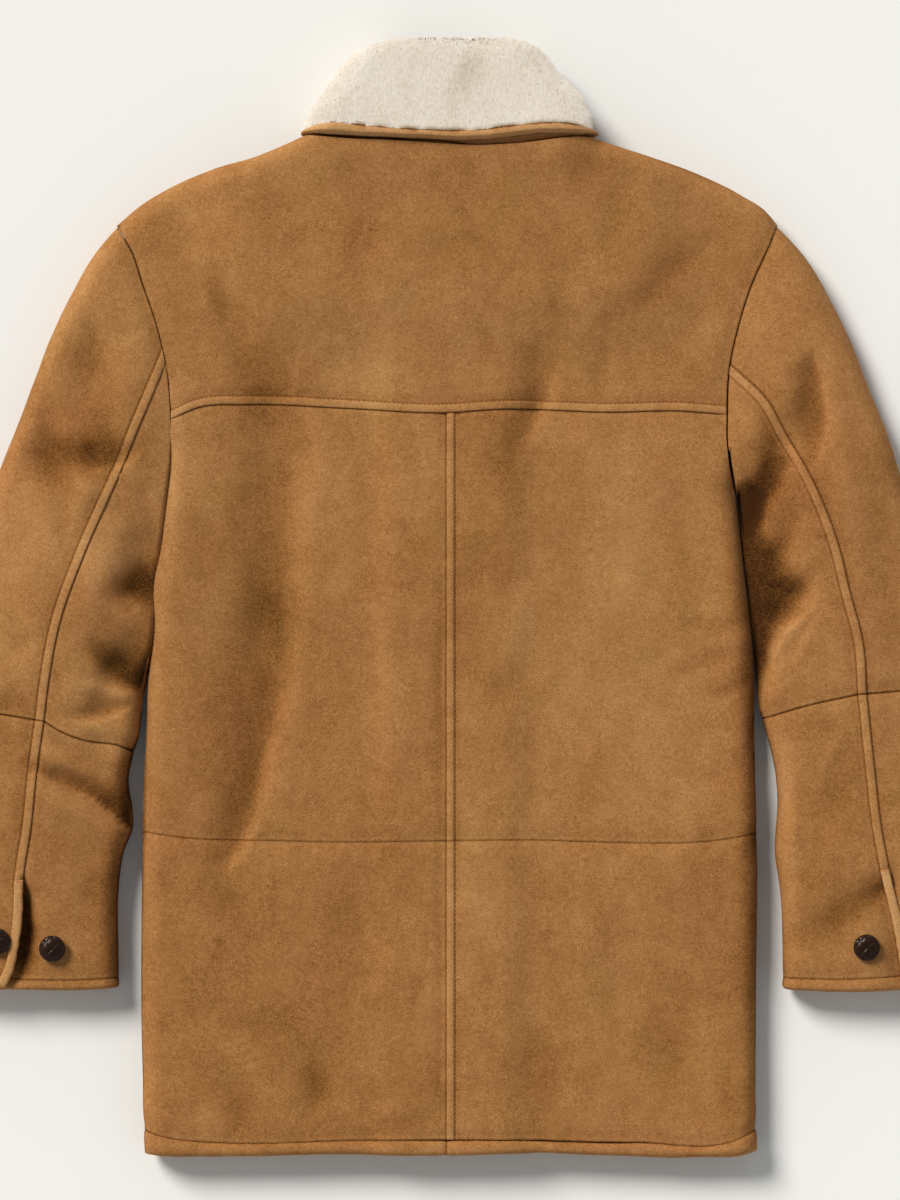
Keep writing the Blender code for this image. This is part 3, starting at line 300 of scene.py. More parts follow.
SLEEVE_CREASES = (
    # left sleeve, above the elbow
    (4.5, -0.13, 2, (
        (-292, 226, 9, 9, 0.3), (-289, 198, 13, 15, 0.8), (-288, 166, 13, 14, 1),
        (-283, 140, 14, 20, 1), (-276, 120, 12, 22, 1),
    )),
    (4, -0.15, 5, (
        (-306, 118, 12, 9, 0.4), (-294, 118, 16, 11, 1), (-280, 117, 18, 11, 1),
        (-266, 117, 10, 9, 0.9),
    )),
    (0, -0.09, 2, even(14, 14, (-326, 128), (-312, 124), (-300, 130), (-294, 150))),
    (-3.5, 0.04, 2, ((-306, 90, 11, 11, 0.6), (-294, 86, 12, 12, 1), (-284, 82, 9, 9, 0.5))),
    (2.5, -0.11, 2, even(14, 18, (-340, 112), (-318, 116), (-296, 118), (-272, 122))),
    (3, -0.14, 2, (
        (-332, 150, 9, 9, 0.3), (-327, 120, 13, 13, 1), (-320, 92, 12, 12, 0.9), (-316, 50, 8, 8, 0.2),
    )),
    (1.5, -0.07, 2, even(9, 9, (-256, 134), (-250, 122), (-246, 108))),
    (1.4, -0.05, 2, even(6, 6, (-264, 94), (-250, 82), (-243, 60), (-242, 44))),
    (9.5, -0.48, 2, (
        (-232, 12, 20, 22, 1), (-250, 11, 19, 20, 1), (-262, 9, 15, 14, 0.8), (-276, 7, 9, 8, 0.15),
    )),
    (1.5, -0.13, 2, (
        (-240, -14, 12, 12, 0.8), (-248, -34, 16, 16, 1), (-250, -54, 12, 14, 1), (-254, -92, 6, 6, 1),
    )),
    (9, -0.44, 3, (
        (-290, -36, 6, 6, 0.2), (-275, -53, 13, 11, 0.9), (-261, -64, 18, 10, 1),
        (-242, -71, 30, 11, 1),
    )),
    (-3, 0.04, 2, (
        (-308, -70, 4, 8, 0.3), (-290, -72, 4, 9, 0.9), (-272, -78, 4, 9, 1), (-250, -87, 4, 8, 0.8),
    )),
    (4.5, -0.17, 6, (
        (-312, -96, 8, 4, 0.3), (-294, -97, 9, 4, 0.9), (-278, -93, 9, 4, 1), (-266, -88, 7, 4, 0.5),
    )),
    (-2, 0.02, 2, even(7, 8, (-318, -106), (-300, -110), (-276, -110))),
    (1.5, -0.06, 2, even(5, 5, (-321, -54), (-320, -66), (-319, -78))),
    (3, -0.10, 2, even(14, 8, (-376, -86), (-358, -88), (-342, -92))),
    (2, -0.07, 2, even(9, 9, (-356, -28), (-346, -40), (-338, -46))),
    (-2.5, 0.03, 2, even(18, 18, (-356, 120), (-366, 70), (-384, 20))),
    (-2.5, 0.03, 2, even(12, 12, (-268, 60), (-288, 20), (-300, -30))),
    # left sleeve, below the elbow
    (2, -0.07, 2, even(7, 7, (-332, -112), (-316, -122), (-300, -134), (-284, -140))),
    (-2, 0.04, 2, even(6, 6, (-338, -124), (-320, -132), (-304, -142))),
    (7, -0.34, 6, (
        (-342, -141, 7, 3, 0.35), (-322, -148, 8, 3, 0.45), (-304, -155, 9, 3, 0.6),
        (-290, -163, 13, 3, 0.8), (-276, -174, 22, 3, 1), (-262, -185, 34, 3, 1),
    )),
    (-3.5, 0.03, 2, even(11, 12, (-332, -160), (-304, -172), (-278, -192), (-268, -204))),
    (1.6, -0.05, 2, even(10, 10, (-300, -210), (-292, -240), (-300, -270))),
    # painted shade along the left sleeve's inner edge beside the gap
    (0, -0.20, 2, ((-268, -196, 8, 12, 0.7), (-270, -230, 9, 14, 1), (-271, -304, 8, 13, 1))),
    (0, -0.06, 2, even(16, 16, (-288, -210), (-286, -225), (-284, -240))),
    (0, -0.22, 2, (
        (-258, -128, 9, 9, 0.9), (-264, -142, 9, 10, 1), (-264, -160, 10, 11, 1), (-262, -180, 8, 9, 1),
    )),
    (2, -0.08, 2, even(14, 12, (-392, -104), (-372, -112), (-350, -130))),
    # right sleeve, above the elbow
    (5.5, -0.20, 4, (
        (296, 112, 9, 7, 0.3), (300, 130, 12, 6, 0.9), (301, 150, 12, 5, 1), (299, 172, 9, 5, 0.9),
        (296, 192, 6, 4, 0.4),
    )),
    (7, -0.44, 2, (
        (234, 66, 10, 14, 1), (248, 84, 9, 14, 1), (261, 99, 9, 12, 1), (266, 110, 9, 10, 0.75),
        (266, 124, 11, 11, 0.5), (263, 140, 9, 9, 0.2),
    )),
    (0, 0.05, 2, even(8, 8, (234, 180), (238, 160), (240, 146))),
    (1.5, -0.13, 2, even(13, 15, (272, 104), (269, 76), (266, 50))),
    (1.5, -0.12, 2, even(6, 6, (262, 32), (274, 42), (288, 56))),
    (1.5, -0.14, 2, even(7, 7, (276, 4), (286, 12), (298, 26))),
    (9, -0.50, 4, (
        (250, -100, 12, 4, 1), (250, -84, 13, 5, 1), (250, -67, 14, 8, 1), (250, -44, 16, 11, 1),
        (249, -36, 18, 16, 1), (248, -28, 18, 22, 1), (247, -14, 20, 38, 1), (245, 3, 20, 40, 1),
        (243, 14, 20, 33, 0.95), (242, 32, 20, 27, 0.95), (240, 47, 20, 17, 0.95), (238, 66, 20, 17, 1),
        (236, 82, 16, 20, 0.9), (235, 96, 12, 10, 0),
    )),
    (3.5, -0.13, 2, even(9, 11, (286, 70), (272, 50), (274, 26), (282, 8))),
    (-3.5, 0.03, 2, (
        (300, -2, 6, 10, 0.4), (284, -22, 6, 12, 1), (270, -44, 6, 14, 1), (266, -80, 8, 12, 0.6),
    )),
    (-1.2, 0.04, 2, even(4, 4, (304, -16), (294, -34), (285, -52))),
    (-3, 0.05, 2, even(14, 12, (316, 186), (318, 150), (326, 100), (330, 60))),
    (1.5, -0.04, 2, even(12, 12, (350, 60), (356, 10), (366, -30))),
    (2, -0.05, 2, even(12, 10, (300, 250), (318, 222), (332, 190))),
    # right sleeve, below the elbow
    (1.8, -0.10, 2, even(16, 16, (290, -104), (310, -108), (330, -112))),
    (0, -0.07, 2, even(16, 16, (318, -120), (318, -160), (322, -206))),
    (0, 0.05, 2, even(8, 8, (274, -110), (276, -150), (276, -190))),
    (-1.4, 0.04, 2, even(5, 5, (320, -108), (312, -130), (304, -152))),
    (2, -0.07, 2, even(13, 13, (318, -140), (310, -170), (304, -196))),
    (-2, 0.03, 2, even(9, 9, (281, -150), (280, -190), (284, -250))),
    (4, -0.20, 2, (
        (358, -232, 9, 9, 1), (346, -243, 12, 13, 1), (328, -259, 14, 15, 0.85),
        (306, -273, 15, 14, 0.75), (288, -280, 13, 12, 0.5),
    )),
    # painted light along the right sleeve's outer edge
    (0, 0.08, 2, even(9, 9, (288, 284), (308, 254), (328, 216), (348, 168), (366, 112))),
    # open vent beside the left placket, with painted shadow in its dip
    (5.5, -0.46, 4, (
        (-349, -234, 3, 3, 0.5), (-346, -252, 5, 5, 1), (-345, -272, 8, 8, 1), (-348, -294, 9, 9, 1),
        (-350, -306, 9, 9, 0.6), (-352, -314, 9, 9, 0.1),
    )),
)
UNDER_CREASES = (  # the same kind of folds on the fronts and the underside of the sleeves, with painted shade
    (5, -0.16, 2, even(26, 13, (-170, 130), (-178, 40), (-168, -60), (-182, -180))),
    (4, -0.12, 2, even(14, 24, (160, 90), (172, 0), (166, -90), (180, -210))),
    (2.6, -0.1, 2, even(12, 12, (-120, -260), (-130, -340), (-124, -410))),
    (2.8, -0.1, 2, even(12, 16, (120, -280), (132, -350), (126, -420))),
    (2, -0.08, 2, even(10, 14, (-70, 200), (-90, 140), (-84, 80))),
    (2, -0.08, 2, even(12, 12, (80, 210), (96, 150), (90, 90))),
    (4, -0.14, 4, even(16, 9, (-262, 40), (-300, 20), (-340, 26))),
    (3, -0.1, 2, even(10, 12, (-270, -60), (-320, -74), (-370, -66))),
    (4, -0.14, 4, even(16, 9, (262, 30), (300, 14), (344, 20))),
    (3, -0.1, 2, even(10, 12, (266, -70), (310, -84), (380, -70))),
)
NAP_TONE_AND_PAINTED_SHADING = (  # x, y, half width, half length, shade: nap tone mixed with painted light and painted shade over folds and edges
    (-70, 292, 110, 16, -0.05),
    (-205, 298, 26, 20, -0.03),
    (-285, 275, 18, 30, 0.05),
    (-100, 215, 90, 45, 0.04),
    (150, 300, 26, 40, -0.05),
    (195, 145, 22, 50, 0.04),
    (35, 112, 34, 44, -0.12),
    (32, -80, 28, 70, -0.07),
    (-175, 40, 30, 120, -0.03),
    (-225, 100, 16, 60, 0.04),
    (150, 50, 50, 110, 0.03),
    (60, -20, 26, 40, 0.05),
    (222, -20, 26, 90, -0.06),
    (222, -210, 26, 60, -0.07),
    (-150, -300, 120, 110, -0.04),
    (-205, -248, 34, 34, -0.05),
    (-190, -398, 30, 30, -0.05),
    (-60, -408, 50, 34, -0.05),
    (180, -350, 66, 80, -0.06),
    (75, -385, 34, 36, -0.06),
    (-8, -350, 14, 60, 0.05),
    (-380, 60, 50, 60, 0.03),
    (-345, 170, 30, 50, -0.04),
    (-290, 20, 16, 26, 0.05),
    (320, -200, 50, 80, -0.03),
    (300, 60, 14, 60, -0.03),
)
LEAST_WALL = 2.5  # of cloth that a trough leaves
SLEEVE_START_X = 256.0

# ------------------------------------------------------------------ seams and mesh density

STITCH_INSET = 7.3  # topstitching from the edge of a sleeve's seam
LAPPED_INSET = 6.8  # and of a body's lapped seam
STITCH_PITCH, STITCH_LENGTH, STITCH_RADIUS, STITCH_SIDES = 3.6, 2.5, 0.34, 6
FINE, COARSE = 3.0, 5.0  # mesh spacing where it shows and where it lies hidden
SOFT_STOPS = (0.0, 0.4, 0.9, 1.5, 2.3, 3.4, 5.0, 7.5)
EDGE_STOPS = {  # distances from an edge at which the mesh has its first lines
    **dict.fromkeys(("plain", "elbow", "beside", "under"), SOFT_STOPS),
    "over": (0.0, 0.3, 0.7, 1.3, 2.4, 4.0, 5.4, 6.2, 6.8, 7.3, 7.8, 8.4, 9.4, 11.0, 13.0),
    "bound": (0.0, 0.15, 0.5, 1.1, 2.0, 3.0, 4.0),
    "band": (0.0, 0.4, 0.9, 1.6, 2.6),
}
ROLL_ANGLES = np.radians((3, 9, 18, 28, 38, 48, 58, 68, 79, 90))
DENSE = 121  # points at which a curve is measured
SHARP_ANGLE = np.radians(60)
LEAST_SLANT, SLANT_STEP, SLANT_REACH = 0.55, 0.01, 0.1
TURNED = 3  # faces by which the hide shows at an edge's inner side
TINY = 1e-9


def smooth(x):
    x = np.clip(x, 0.0, 1.0)
    return x * x * (3.0 - 2.0 * x)


def bell(x):
    return np.exp(-x * x)


def quarter(x):
    """Quarter circle, from 0 at x = 0 to 1 at x = 1 and beyond."""
    return np.sqrt(1 - (1 - np.clip(x, 0.0, 1.0)) ** 2)


def bells(x, table):
    """Sum of soft rises: size, place, half width."""
    return sum(size * bell((x - place) / half_width) for size, place, half_width in table)


def unit(vectors):
    return vectors / np.maximum(np.linalg.norm(vectors, axis=-1, keepdims=True), TINY)


def noise(x, y, seed):
    """Smooth noise from -1 to 1 on a lattice of spacing 1, whose corners are hashed by a sine."""
    xi, yi = np.floor(x), np.floor(y)
    fx, fy = smooth(x - xi), smooth(y - yi)

    def corner(i, j):
        mixed = np.sin((xi + i) * 127.1 + (yi + j) * 311.7 + seed * 74.7) * 43758.5453
        return 2 * (mixed - np.floor(mixed)) - 1

    low = corner(0, 0) * (1 - fx) + corner(1, 0) * fx
    high = corner(0, 1) * (1 - fx) + corner(1, 1) * fx
    return low * (1 - fy) + high * fy


def noises(x, y, table, start=0.0):
    """Sum of noises on a start value: size, spacing along x and y, seed."""
    for size, along_x, along_y, seed in table:
        start = start + size * noise(x / along_x, y / along_y, seed)
    return start


def through(x, table_x, table_y):
    """Smooth line through a table's points, read at x; table_x rises."""
    table_x = np.asarray(table_x, float)
    table_y = np.asarray(table_y, float)
    x = np.clip(x, table_x[0], table_x[-1])
    slope = np.gradient(table_y, table_x)
    i = np.clip(np.searchsorted(table_x, x) - 1, 0, len(table_x) - 2)
    step = table_x[i + 1] - table_x[i]
    u = (x - table_x[i]) / step
    rise = table_y[i] * (1 + 2 * u) * (1 - u) ** 2 + table_y[i + 1] * u * u * (3 - 2 * u)
    return rise + step * u * (1 - u) * (slope[i] * (1 - u) - slope[i + 1] * u)


def along(table, x):
    columns = np.array(table)
    return through(x, columns[:, 0], columns[:, 1])


SIDE_COLUMN = {"left": 1, "right": 2}  # of BODY_SIDES
SIDE_END = {"left": 0, "right": -1}  # row of a seam's table that lies at a side


def body_x(side, y):
    columns = np.array(BODY_SIDES)[::-1]
    return through(y, columns[:, 0], columns[:, SIDE_COLUMN[side]])


def curve(points):
    """Smooth plan curve through points, read by its share of the length."""
    points = np.array(points, float)
    lengths = np.concatenate(([0.0], np.cumsum(np.hypot(*np.diff(points, axis=0).T))))

    def at(share):
        distance = np.asarray(share, float) * lengths[-1]
        x = through(distance, lengths, points[:, 0])
        return np.stack((x, through(distance, lengths, points[:, 1])), axis=-1)

    return at


def seam_curve(table, xs, shares=(0.0, 1.0)):
    def at(share):
        x = np.interp(share, shares, xs)
        return np.stack((x, along(table, x)), axis=-1)

    return at


def side_curve(side, y_from, y_to):
    def at(share):
        y = y_from + (y_to - y_from) * np.asarray(share, float)
        return np.stack((body_x(side, y), y), axis=-1)

    return at


def upright(x, y_from, y_to):
    return curve(((x, y_from), (x, y_to)))


def patch(start, end, first, last):
    """Plan patch between four curves: start, end at s = 0, 1 and first, last at t = 0, 1."""
    c00, c10, c01, c11 = first(0.0), first(1.0), last(0.0), last(1.0)

    def at(s, t):
        sv, tv = np.asarray(s)[..., None], np.asarray(t)[..., None]
        lengthwise = (1 - tv) * first(s) + tv * last(s)
        crosswise = (1 - sv) * start(t) + sv * end(t)
        near = (1 - tv) * ((1 - sv) * c00 + sv * c10)
        far = tv * ((1 - sv) * c01 + sv * c11)
        return lengthwise + crosswise - near - far

    return at


def spread(lengths, near, far, count):
    """Positions on lines of given lengths: near and far stops at their distances, others evenly."""
    lengths = np.asarray(lengths, float)[..., None]
    near, far = np.asarray(near, float), np.asarray(far, float)
    low, high = near[-1], lengths - far[-1]
    middle = low + (high - low) * np.arange(1, count + 1) / (count + 1)
    first = np.broadcast_to(near, lengths.shape[:-1] + near.shape)
    return np.concatenate((first, middle, lengths - far[::-1]), axis=-1)


def stops(kind):
    if kind == "fold":
        return FOLD_RADIUS * (1 - np.cos(ROLL_ANGLES))
    inset = 0.0 if kind == "bound" else SEAM / 2
    return inset + np.array(EDGE_STOPS["over" if kind == "lapped" else kind])


def count_between(length, near, far, step):
    return max(1, round((length - near[-1] - far[-1]) / step) - 1)


# ------------------------------------------------------------------ heights of the layers


def lift(x, y):
    half, low = LIFT_BOX
    away = np.hypot(np.maximum(np.abs(x) - half, 0), np.maximum(low - y, 0))
    return 1 - smooth((away - LIFT_MARGIN) / LIFT_RAMP)


def base_z(x, y):
    return COLLAR_LIFT * lift(x, y)


def wall(x, y):
    return WALL - (WALL - NECK_WALL) * lift(x, y)


def fronts_thick(x, y):
    past = np.abs(x) - OVERLAP_HALF - OVERLAP_CLEAR
    share = (1 - smooth(past / OVERLAP_RAMP)) * (1 - lift(x, y))
    return wall(x, y) + OVERLAP_RISE * share


def fold_depth(x, y):
    depth = np.zeros_like(x)
    for x0, y0, x1, y1, half_width, deep in FOLDS:
        run = np.array((x1 - x0, y1 - y0))
        share = np.clip(((x - x0) * run[0] + (y - y0) * run[1]) / (run @ run), 0, 1)
        off = np.hypot(x - x0 - share * run[0], y - y0 - share * run[1])
        depth = depth + deep * bell(off / half_width)
    return depth


def middle_z(x, y):
    return base_z(x, y) + wall(x, y) + LAYER_GAP / 2


def round_edge(distance):
    return quarter(distance / FOLD_RADIUS)


def inner_edge(distance):
    return smooth((distance - (FOLD_RADIUS - 4 * TURN_RADIUS)) / (4 * TURN_RADIUS))


def neck_fade(x):
    low, high = NECK_FADE
    return smooth((np.abs(x) - low) / (high - low))


def side_fade(side, y):
    return smooth((UNDERARM_Y[side] - y) / EDGE_FADE)


def with_height(plan, z):
    return np.concatenate((plan, np.broadcast_to(z, plan.shape[:-1])[..., None]), axis=-1)


# ------------------------------------------------------------------ relief of the suede


def reach(points, axis, reverse=False):
    """Distance of each point from the grid's first or last line, along the grid."""
    steps = np.linalg.norm(np.diff(points, axis=axis), axis=-1)
    total = np.cumsum(steps, axis=axis)
    pad = [(0, 0), (0, 0)]
    pad[axis] = (1, 0)
    total = np.pad(total, pad)
    if reverse:
        return np.take(total, [-1], axis=axis) - total
    return total


def grid_normals(outer, inner):
    """Normals of the outer grid, away from the inner one."""
    normals = unit(np.cross(np.gradient(outer, axis=0), np.gradient(outer, axis=1)))
    return -normals if np.sum(normals * (outer - inner)) < 0 else normals


PLAIN_HEIGHT = ((-0.35, 0, 0.7), (-1.3, 0, 8))
# painted shade in a plain seam's ditch, and a painted light line 2.5 from it
PLAIN_PAINTED_SHADING = ((-0.22, 0, 0.6), (0.05, 2.5, 1.5), (-0.03, 0, 6))
EDGE_BELLS = {  # rises and dips beside an edge, in height and in painted shade (a dark line in the seam's ditch, on some with a painted light line beside it): size, distance, half width
    "plain": (PLAIN_HEIGHT, PLAIN_PAINTED_SHADING),
    "elbow": ((*PLAIN_HEIGHT, (-0.3, 0, 0.9)), (*PLAIN_PAINTED_SHADING, (-0.22, 0, 0.8))),
    "beside": (((-0.3, 0, 1),), ((-0.03, 0, 4),)),
    "band": (((-0.5, 0, 0.8), (-0.9, 0, 3)), ((-0.24, 0, 0.6), (-0.05, 0, 3))),
    "under": (((-0.5, 0, 0.8), (-0.8, 0, 6)), ((-0.08, 0, 0.6), (0.06, 2.6, 1.3), (-0.04, 0, 7))),
}


STRIP_RISE, STRIP_ROUND, STRIP_PAINTED_LIGHT = 0.9, 2.2, 0.09  # strip that is sewn down over its neighbour, lighter along its rise as painted light
STRIP_END, STRIP_FADE = 1.0, 1.6  # before its stitches
GROOVE_DEPTH, GROOVE_HALF, GROOVE_PAINTED_SHADE = 0.7, 0.8, -0.30  # groove of the stitches, darkened as painted shade
PAST_DEPTH, PAST_PLACE, PAST_HALF, PAST_PAINTED_SHADE = 0.6, 2.5, 3.5, -0.03  # dip beyond it, with a little painted shade
OVER_PAINTED_SHADE_LINE = ((-0.10, 0, 0.5),)  # painted shade line at the strip's own edge, in the ditch
# lapped seam: share of the height, lighter painted shade in its groove, painted shade line at its edge
LAPPED_SHARE, LAPPED_GROOVE, LAPPED_PAINTED_SHADE_LINE = 0.85, 0.19, ((-0.06, 0, 0.6),)


def over_edge(d, inset=STITCH_INSET):
    """Sleeve's seam: the strip, its groove and the dip beyond, with their painted light and shade."""
    strip = 1 - smooth((d - inset + STRIP_END) / STRIP_FADE)
    groove = bell((d - inset) / GROOVE_HALF)
    past = bell((d - inset - PAST_PLACE) / PAST_HALF)
    height = STRIP_RISE * strip * quarter(d / STRIP_ROUND) - GROOVE_DEPTH * groove - PAST_DEPTH * past
    return height, STRIP_PAINTED_LIGHT * strip + bells(d, OVER_PAINTED_SHADE_LINE) + GROOVE_PAINTED_SHADE * groove + PAST_PAINTED_SHADE * past


def lapped_edge(d):
    """Lapped seam of the body: narrower and flatter than a sleeve's, with less painted shade in its groove.
    """
    height, shade = over_edge(d, LAPPED_INSET)
    lighter = LAPPED_GROOVE * bell((d - LAPPED_INSET) / GROOVE_HALF)
    return LAPPED_SHARE * height, shade + lighter + bells(d, LAPPED_PAINTED_SHADE_LINE)


def edge_relief(kind, d):
    """Height and painted shade at distances d from an edge of a kind."""
    if kind == "over":
        return over_edge(d)
    if kind == "lapped":
        return lapped_edge(d)
    height, shade = EDGE_BELLS.get(kind, ((), ()))
    return bells(d, height), bells(d, shade)


EDGE_PLACES = {"first": (0, False), "last": (0, True), "start": (1, False), "end": (1, True)}


UNDULATION = (  # size, spacing along x and y, seed
    (1.8, 95, 110, 1),
    (1.1, 48, 55, 2),
    (0.35, 19, 23, 3),
    (0.12, 8, 9, 4),
)
WANDER_X = ((2.5, 31, 37, 11), (0.8, 9, 11, 12))  # how folds stray from their lines
WANDER_Y = ((2.5, 29, 33, 13), (0.8, 9, 11, 14))
CREASE_REACH = 2.2  # times a fold's width


def line_reading(points, x, y):
    """Signed distance from a bent line, positive on its left, and its other columns read there."""
    points = np.array(points, float)
    nearest, side = np.full(x.shape, np.inf), np.zeros(x.shape)
    columns = np.zeros((*x.shape, points.shape[1] - 2))
    for start, end in zip(points[:-1], points[1:]):
        run = end[:2] - start[:2]
        px, py = x - start[0], y - start[1]
        u = np.clip((px * run[0] + py * run[1]) / (run @ run), 0, 1)
        off = np.hypot(px - u * run[0], py - u * run[1])
        closer = off < nearest
        nearest = np.where(closer, off, nearest)
        side = np.where(closer, np.sign(run[0] * py - run[1] * px), side)
        here = start[2:] + u[..., None] * (end[2:] - start[2:])
        columns = np.where(closer[..., None], here, columns)
    return nearest * side, columns


def crease_relief(table, x, y):
    """Height and painted shade of soft troughs (depth above 0) or ridges (below 0) along bent lines."""
    height, shade = np.zeros(x.shape), np.zeros(x.shape)
    wavy_x, wavy_y = noises(x, y, WANDER_X, x), noises(x, y, WANDER_Y, y)
    for depth, tone, power, points in table:
        places = np.array(points, float)
        span = CREASE_REACH * places[:, 2:4].max()
        low, high = places[:, :2].min(axis=0) - span, places[:, :2].max(axis=0) + span
        near = (wavy_x > low[0]) & (wavy_x < high[0]) & (wavy_y > low[1]) & (wavy_y < high[1])
        if not near.any():
            continue
        off, columns = line_reading(places, wavy_x[near], wavy_y[near])
        left, right, strength = columns.T
        on_left = np.exp(-((off / left) ** 2))
        on_right = np.exp(-(np.abs(off / right) ** power))
        form = strength * np.where(off > 0, on_left, on_right)
        height[near] -= depth * form
        shade[near] += tone * form
    return height, shade


# patches of nap tone and of painted light and painted shade
def nap_tone_and_painted_shading(x, y):
    shade = np.zeros(x.shape)
    for px, py, half_x, half_y, tone in NAP_TONE_AND_PAINTED_SHADING:
        away = ((x - px) / half_x) ** 2 + ((y - py) / half_y) ** 2
        shade = shade + tone * np.exp(-away * noises(x, y, TONE_RAGGED, 1))
    return shade


FACING, UPWARD = (0.05, 0.6), (-0.3, 0.35)  # where drops count, and where the folds' painted shade shows
GAP_FACING, RELIEF_FACING = (0.1, 0.4), (-0.35, 0.7)
TONE_RAGGED = ((0.5, 25, 25, 21),)
GAP_TOP, GAP_X, GAP_HALF, GAP_PAINTED_SHADE = -95.0, 259.0, 16.0, 0.4  # narrow gaps beside the body, whose side walls get painted shade
YOKE_FADE = (172.0, 24.0)  # y at which the left armhole's painted shade line has faded, and its run
PUCKER, PUCKER_HALF, PUCKER_ALONG, PUCKER_ACROSS, PUCKER_SEED = 0.5, 10, 11, 40, 5
BOUND_PAINTED_LIGHT = ((0.10, 0, 4.5),)  # painted light on a binding's rounded end, which turns away from the lamp
SIDE_SHARE = 0.3  # of the relief that is left on the floor side


def tilt(normals, low, run):
    """How far a surface faces up: from 0 where its normal's z is low, to 1 a run above that."""
    return smooth((normals[..., 2] - low) / run)


def row_slant(outer):
    """Sine of the angle between each row and the seam that it starts from."""
    index = EDGE_STOPS["over"].index(STITCH_INSET)
    seam = np.gradient(outer[:, 0, :2], axis=0)
    row = outer[:, index, :2] - outer[:, 0, :2]
    turn = seam[:, 0] * row[:, 1] - seam[:, 1] * row[:, 0]
    sine = np.abs(turn) / (np.linalg.norm(seam, axis=1) * np.linalg.norm(row, axis=1))
    return np.clip(sine, LEAST_SLANT, 1)


def relief(outer, inner, edges, creases):
    """Outer points moved by seams, puckers and folds, and each point's shade: painted light and shade, with
    nap tone patches.
    """
    normals = grid_normals(outer, inner)
    x, y = outer[..., 0], outer[..., 1]
    height = noises(x, y, UNDULATION)
    shade = np.zeros_like(x)
    for place, kind in edges.items():
        axis, reverse = EDGE_PLACES[place]
        d = reach(outer, axis, reverse)
        if kind == "over":
            d = d * row_slant(outer)[:, None]
        edge_height, edge_shade = edge_relief(kind, d)
        if place == "start" and kind == "plain":
            edge_shade = edge_shade * smooth((y - YOKE_FADE[0]) / YOKE_FADE[1])
        if kind == "over" and axis == 1:
            sewn = 1 - smooth((VENT_TOP_Y - y) / VENT_FADE) * (np.abs(x) > SLEEVE_START_X)
            edge_height, edge_shade = edge_height * sewn, edge_shade * sewn
        height = height + edge_height
        shade = shade + edge_shade
        # painted light near a binding's rounded end
        if kind == "bound" and axis == 0:
            shade = shade + bells(d, BOUND_PAINTED_LIGHT)
        if kind in ("plain", "elbow", "under", "over", "lapped"):
            spacing = (PUCKER_ALONG, PUCKER_ACROSS) if axis == 0 else (PUCKER_ACROSS, PUCKER_ALONG)
            height = height + noises(x, y, ((PUCKER, *spacing, PUCKER_SEED),)) * bell(d / PUCKER_HALF)
    facing_up, facing_down = tilt(normals, *FACING), tilt(-normals, *FACING)
    upward = tilt(normals, *UPWARD)
    crease_height, crease_shade = crease_relief(creases, x, y)
    under_height, under_shade = crease_relief(UNDER_CREASES, x, y)
    # painted light and shade of the folds and tone patches on faces that look up, of the under folds below
    shade = shade + (crease_shade + nap_tone_and_painted_shading(x, y)) * upward + under_shade * (1 - upward)
    # painted shade on faces that don't look up, in the narrow gaps beside the body
    in_gap = (y < GAP_TOP) * bell((np.abs(x) - GAP_X) / GAP_HALF)
    shade = shade - GAP_PAINTED_SHADE * in_gap * (1 - tilt(normals, *GAP_FACING))
    room = np.maximum(np.linalg.norm(outer - inner, axis=-1) - LEAST_WALL, 0)
    drop = crease_height * facing_up + under_height * facing_down
    drop = np.maximum(drop, -room - np.minimum(height, 0))
    height = height * (SIDE_SHARE + (1 - SIDE_SHARE) * tilt(normals, *RELIEF_FACING))
    height = np.maximum(height, -room)
    moved = outer + normals * height[..., None]
    moved[..., 2] += drop * np.sign(normals[..., 2])
    moved[..., 2] = np.maximum(moved[..., 2], 0)
    return moved, shade


# ------------------------------------------------------------------ meshes


def mesh_object(name, vertices, faces, materials, face_materials=None, attributes=None):
    """Mesh piece from vertices in mm and an array of faces of one size."""
    mesh = bpy.data.meshes.new(name)
    faces = np.asarray(faces)
    size = faces.shape[1]
    mesh.vertices.add(len(vertices))
    mesh.vertices.foreach_set("co", (np.asarray(vertices) * MM).ravel())
    mesh.loops.add(faces.size)
    mesh.loops.foreach_set("vertex_index", faces.ravel())
    mesh.polygons.add(len(faces))
    mesh.polygons.foreach_set("loop_start", np.arange(0, faces.size, size))
    mesh.polygons.foreach_set("loop_total", np.full(len(faces), size))
    for material in materials:
        mesh.materials.append(material)
    if face_materials is not None:
        mesh.polygons.foreach_set("material_index", face_materials)
    mesh.update(calc_edges=True)
    for label, values in (attributes or {}).items():
        layer = mesh.attributes.new(label, "FLOAT", "POINT")
        layer.data.foreach_set("value", values)
    mesh.shade_smooth()
    mesh.set_sharp_from_angle(angle=SHARP_ANGLE)
    made = bpy.data.objects.new(name, mesh)
    bpy.context.scene.collection.objects.link(made)
    return made


def grid_faces(index, flip):
    quads = np.stack((index[:-1, :-1], index[:-1, 1:], index[1:, 1:], index[1:, :-1]), axis=-1)
    quads = quads.reshape(-1, 4)
    return quads[:, ::-1] if flip else quads


def strip_faces(first, second, flip):
    quads = np.stack((first[1:], first[:-1], second[:-1], second[1:]), axis=-1)
    return quads[:, ::-1] if flip else quads


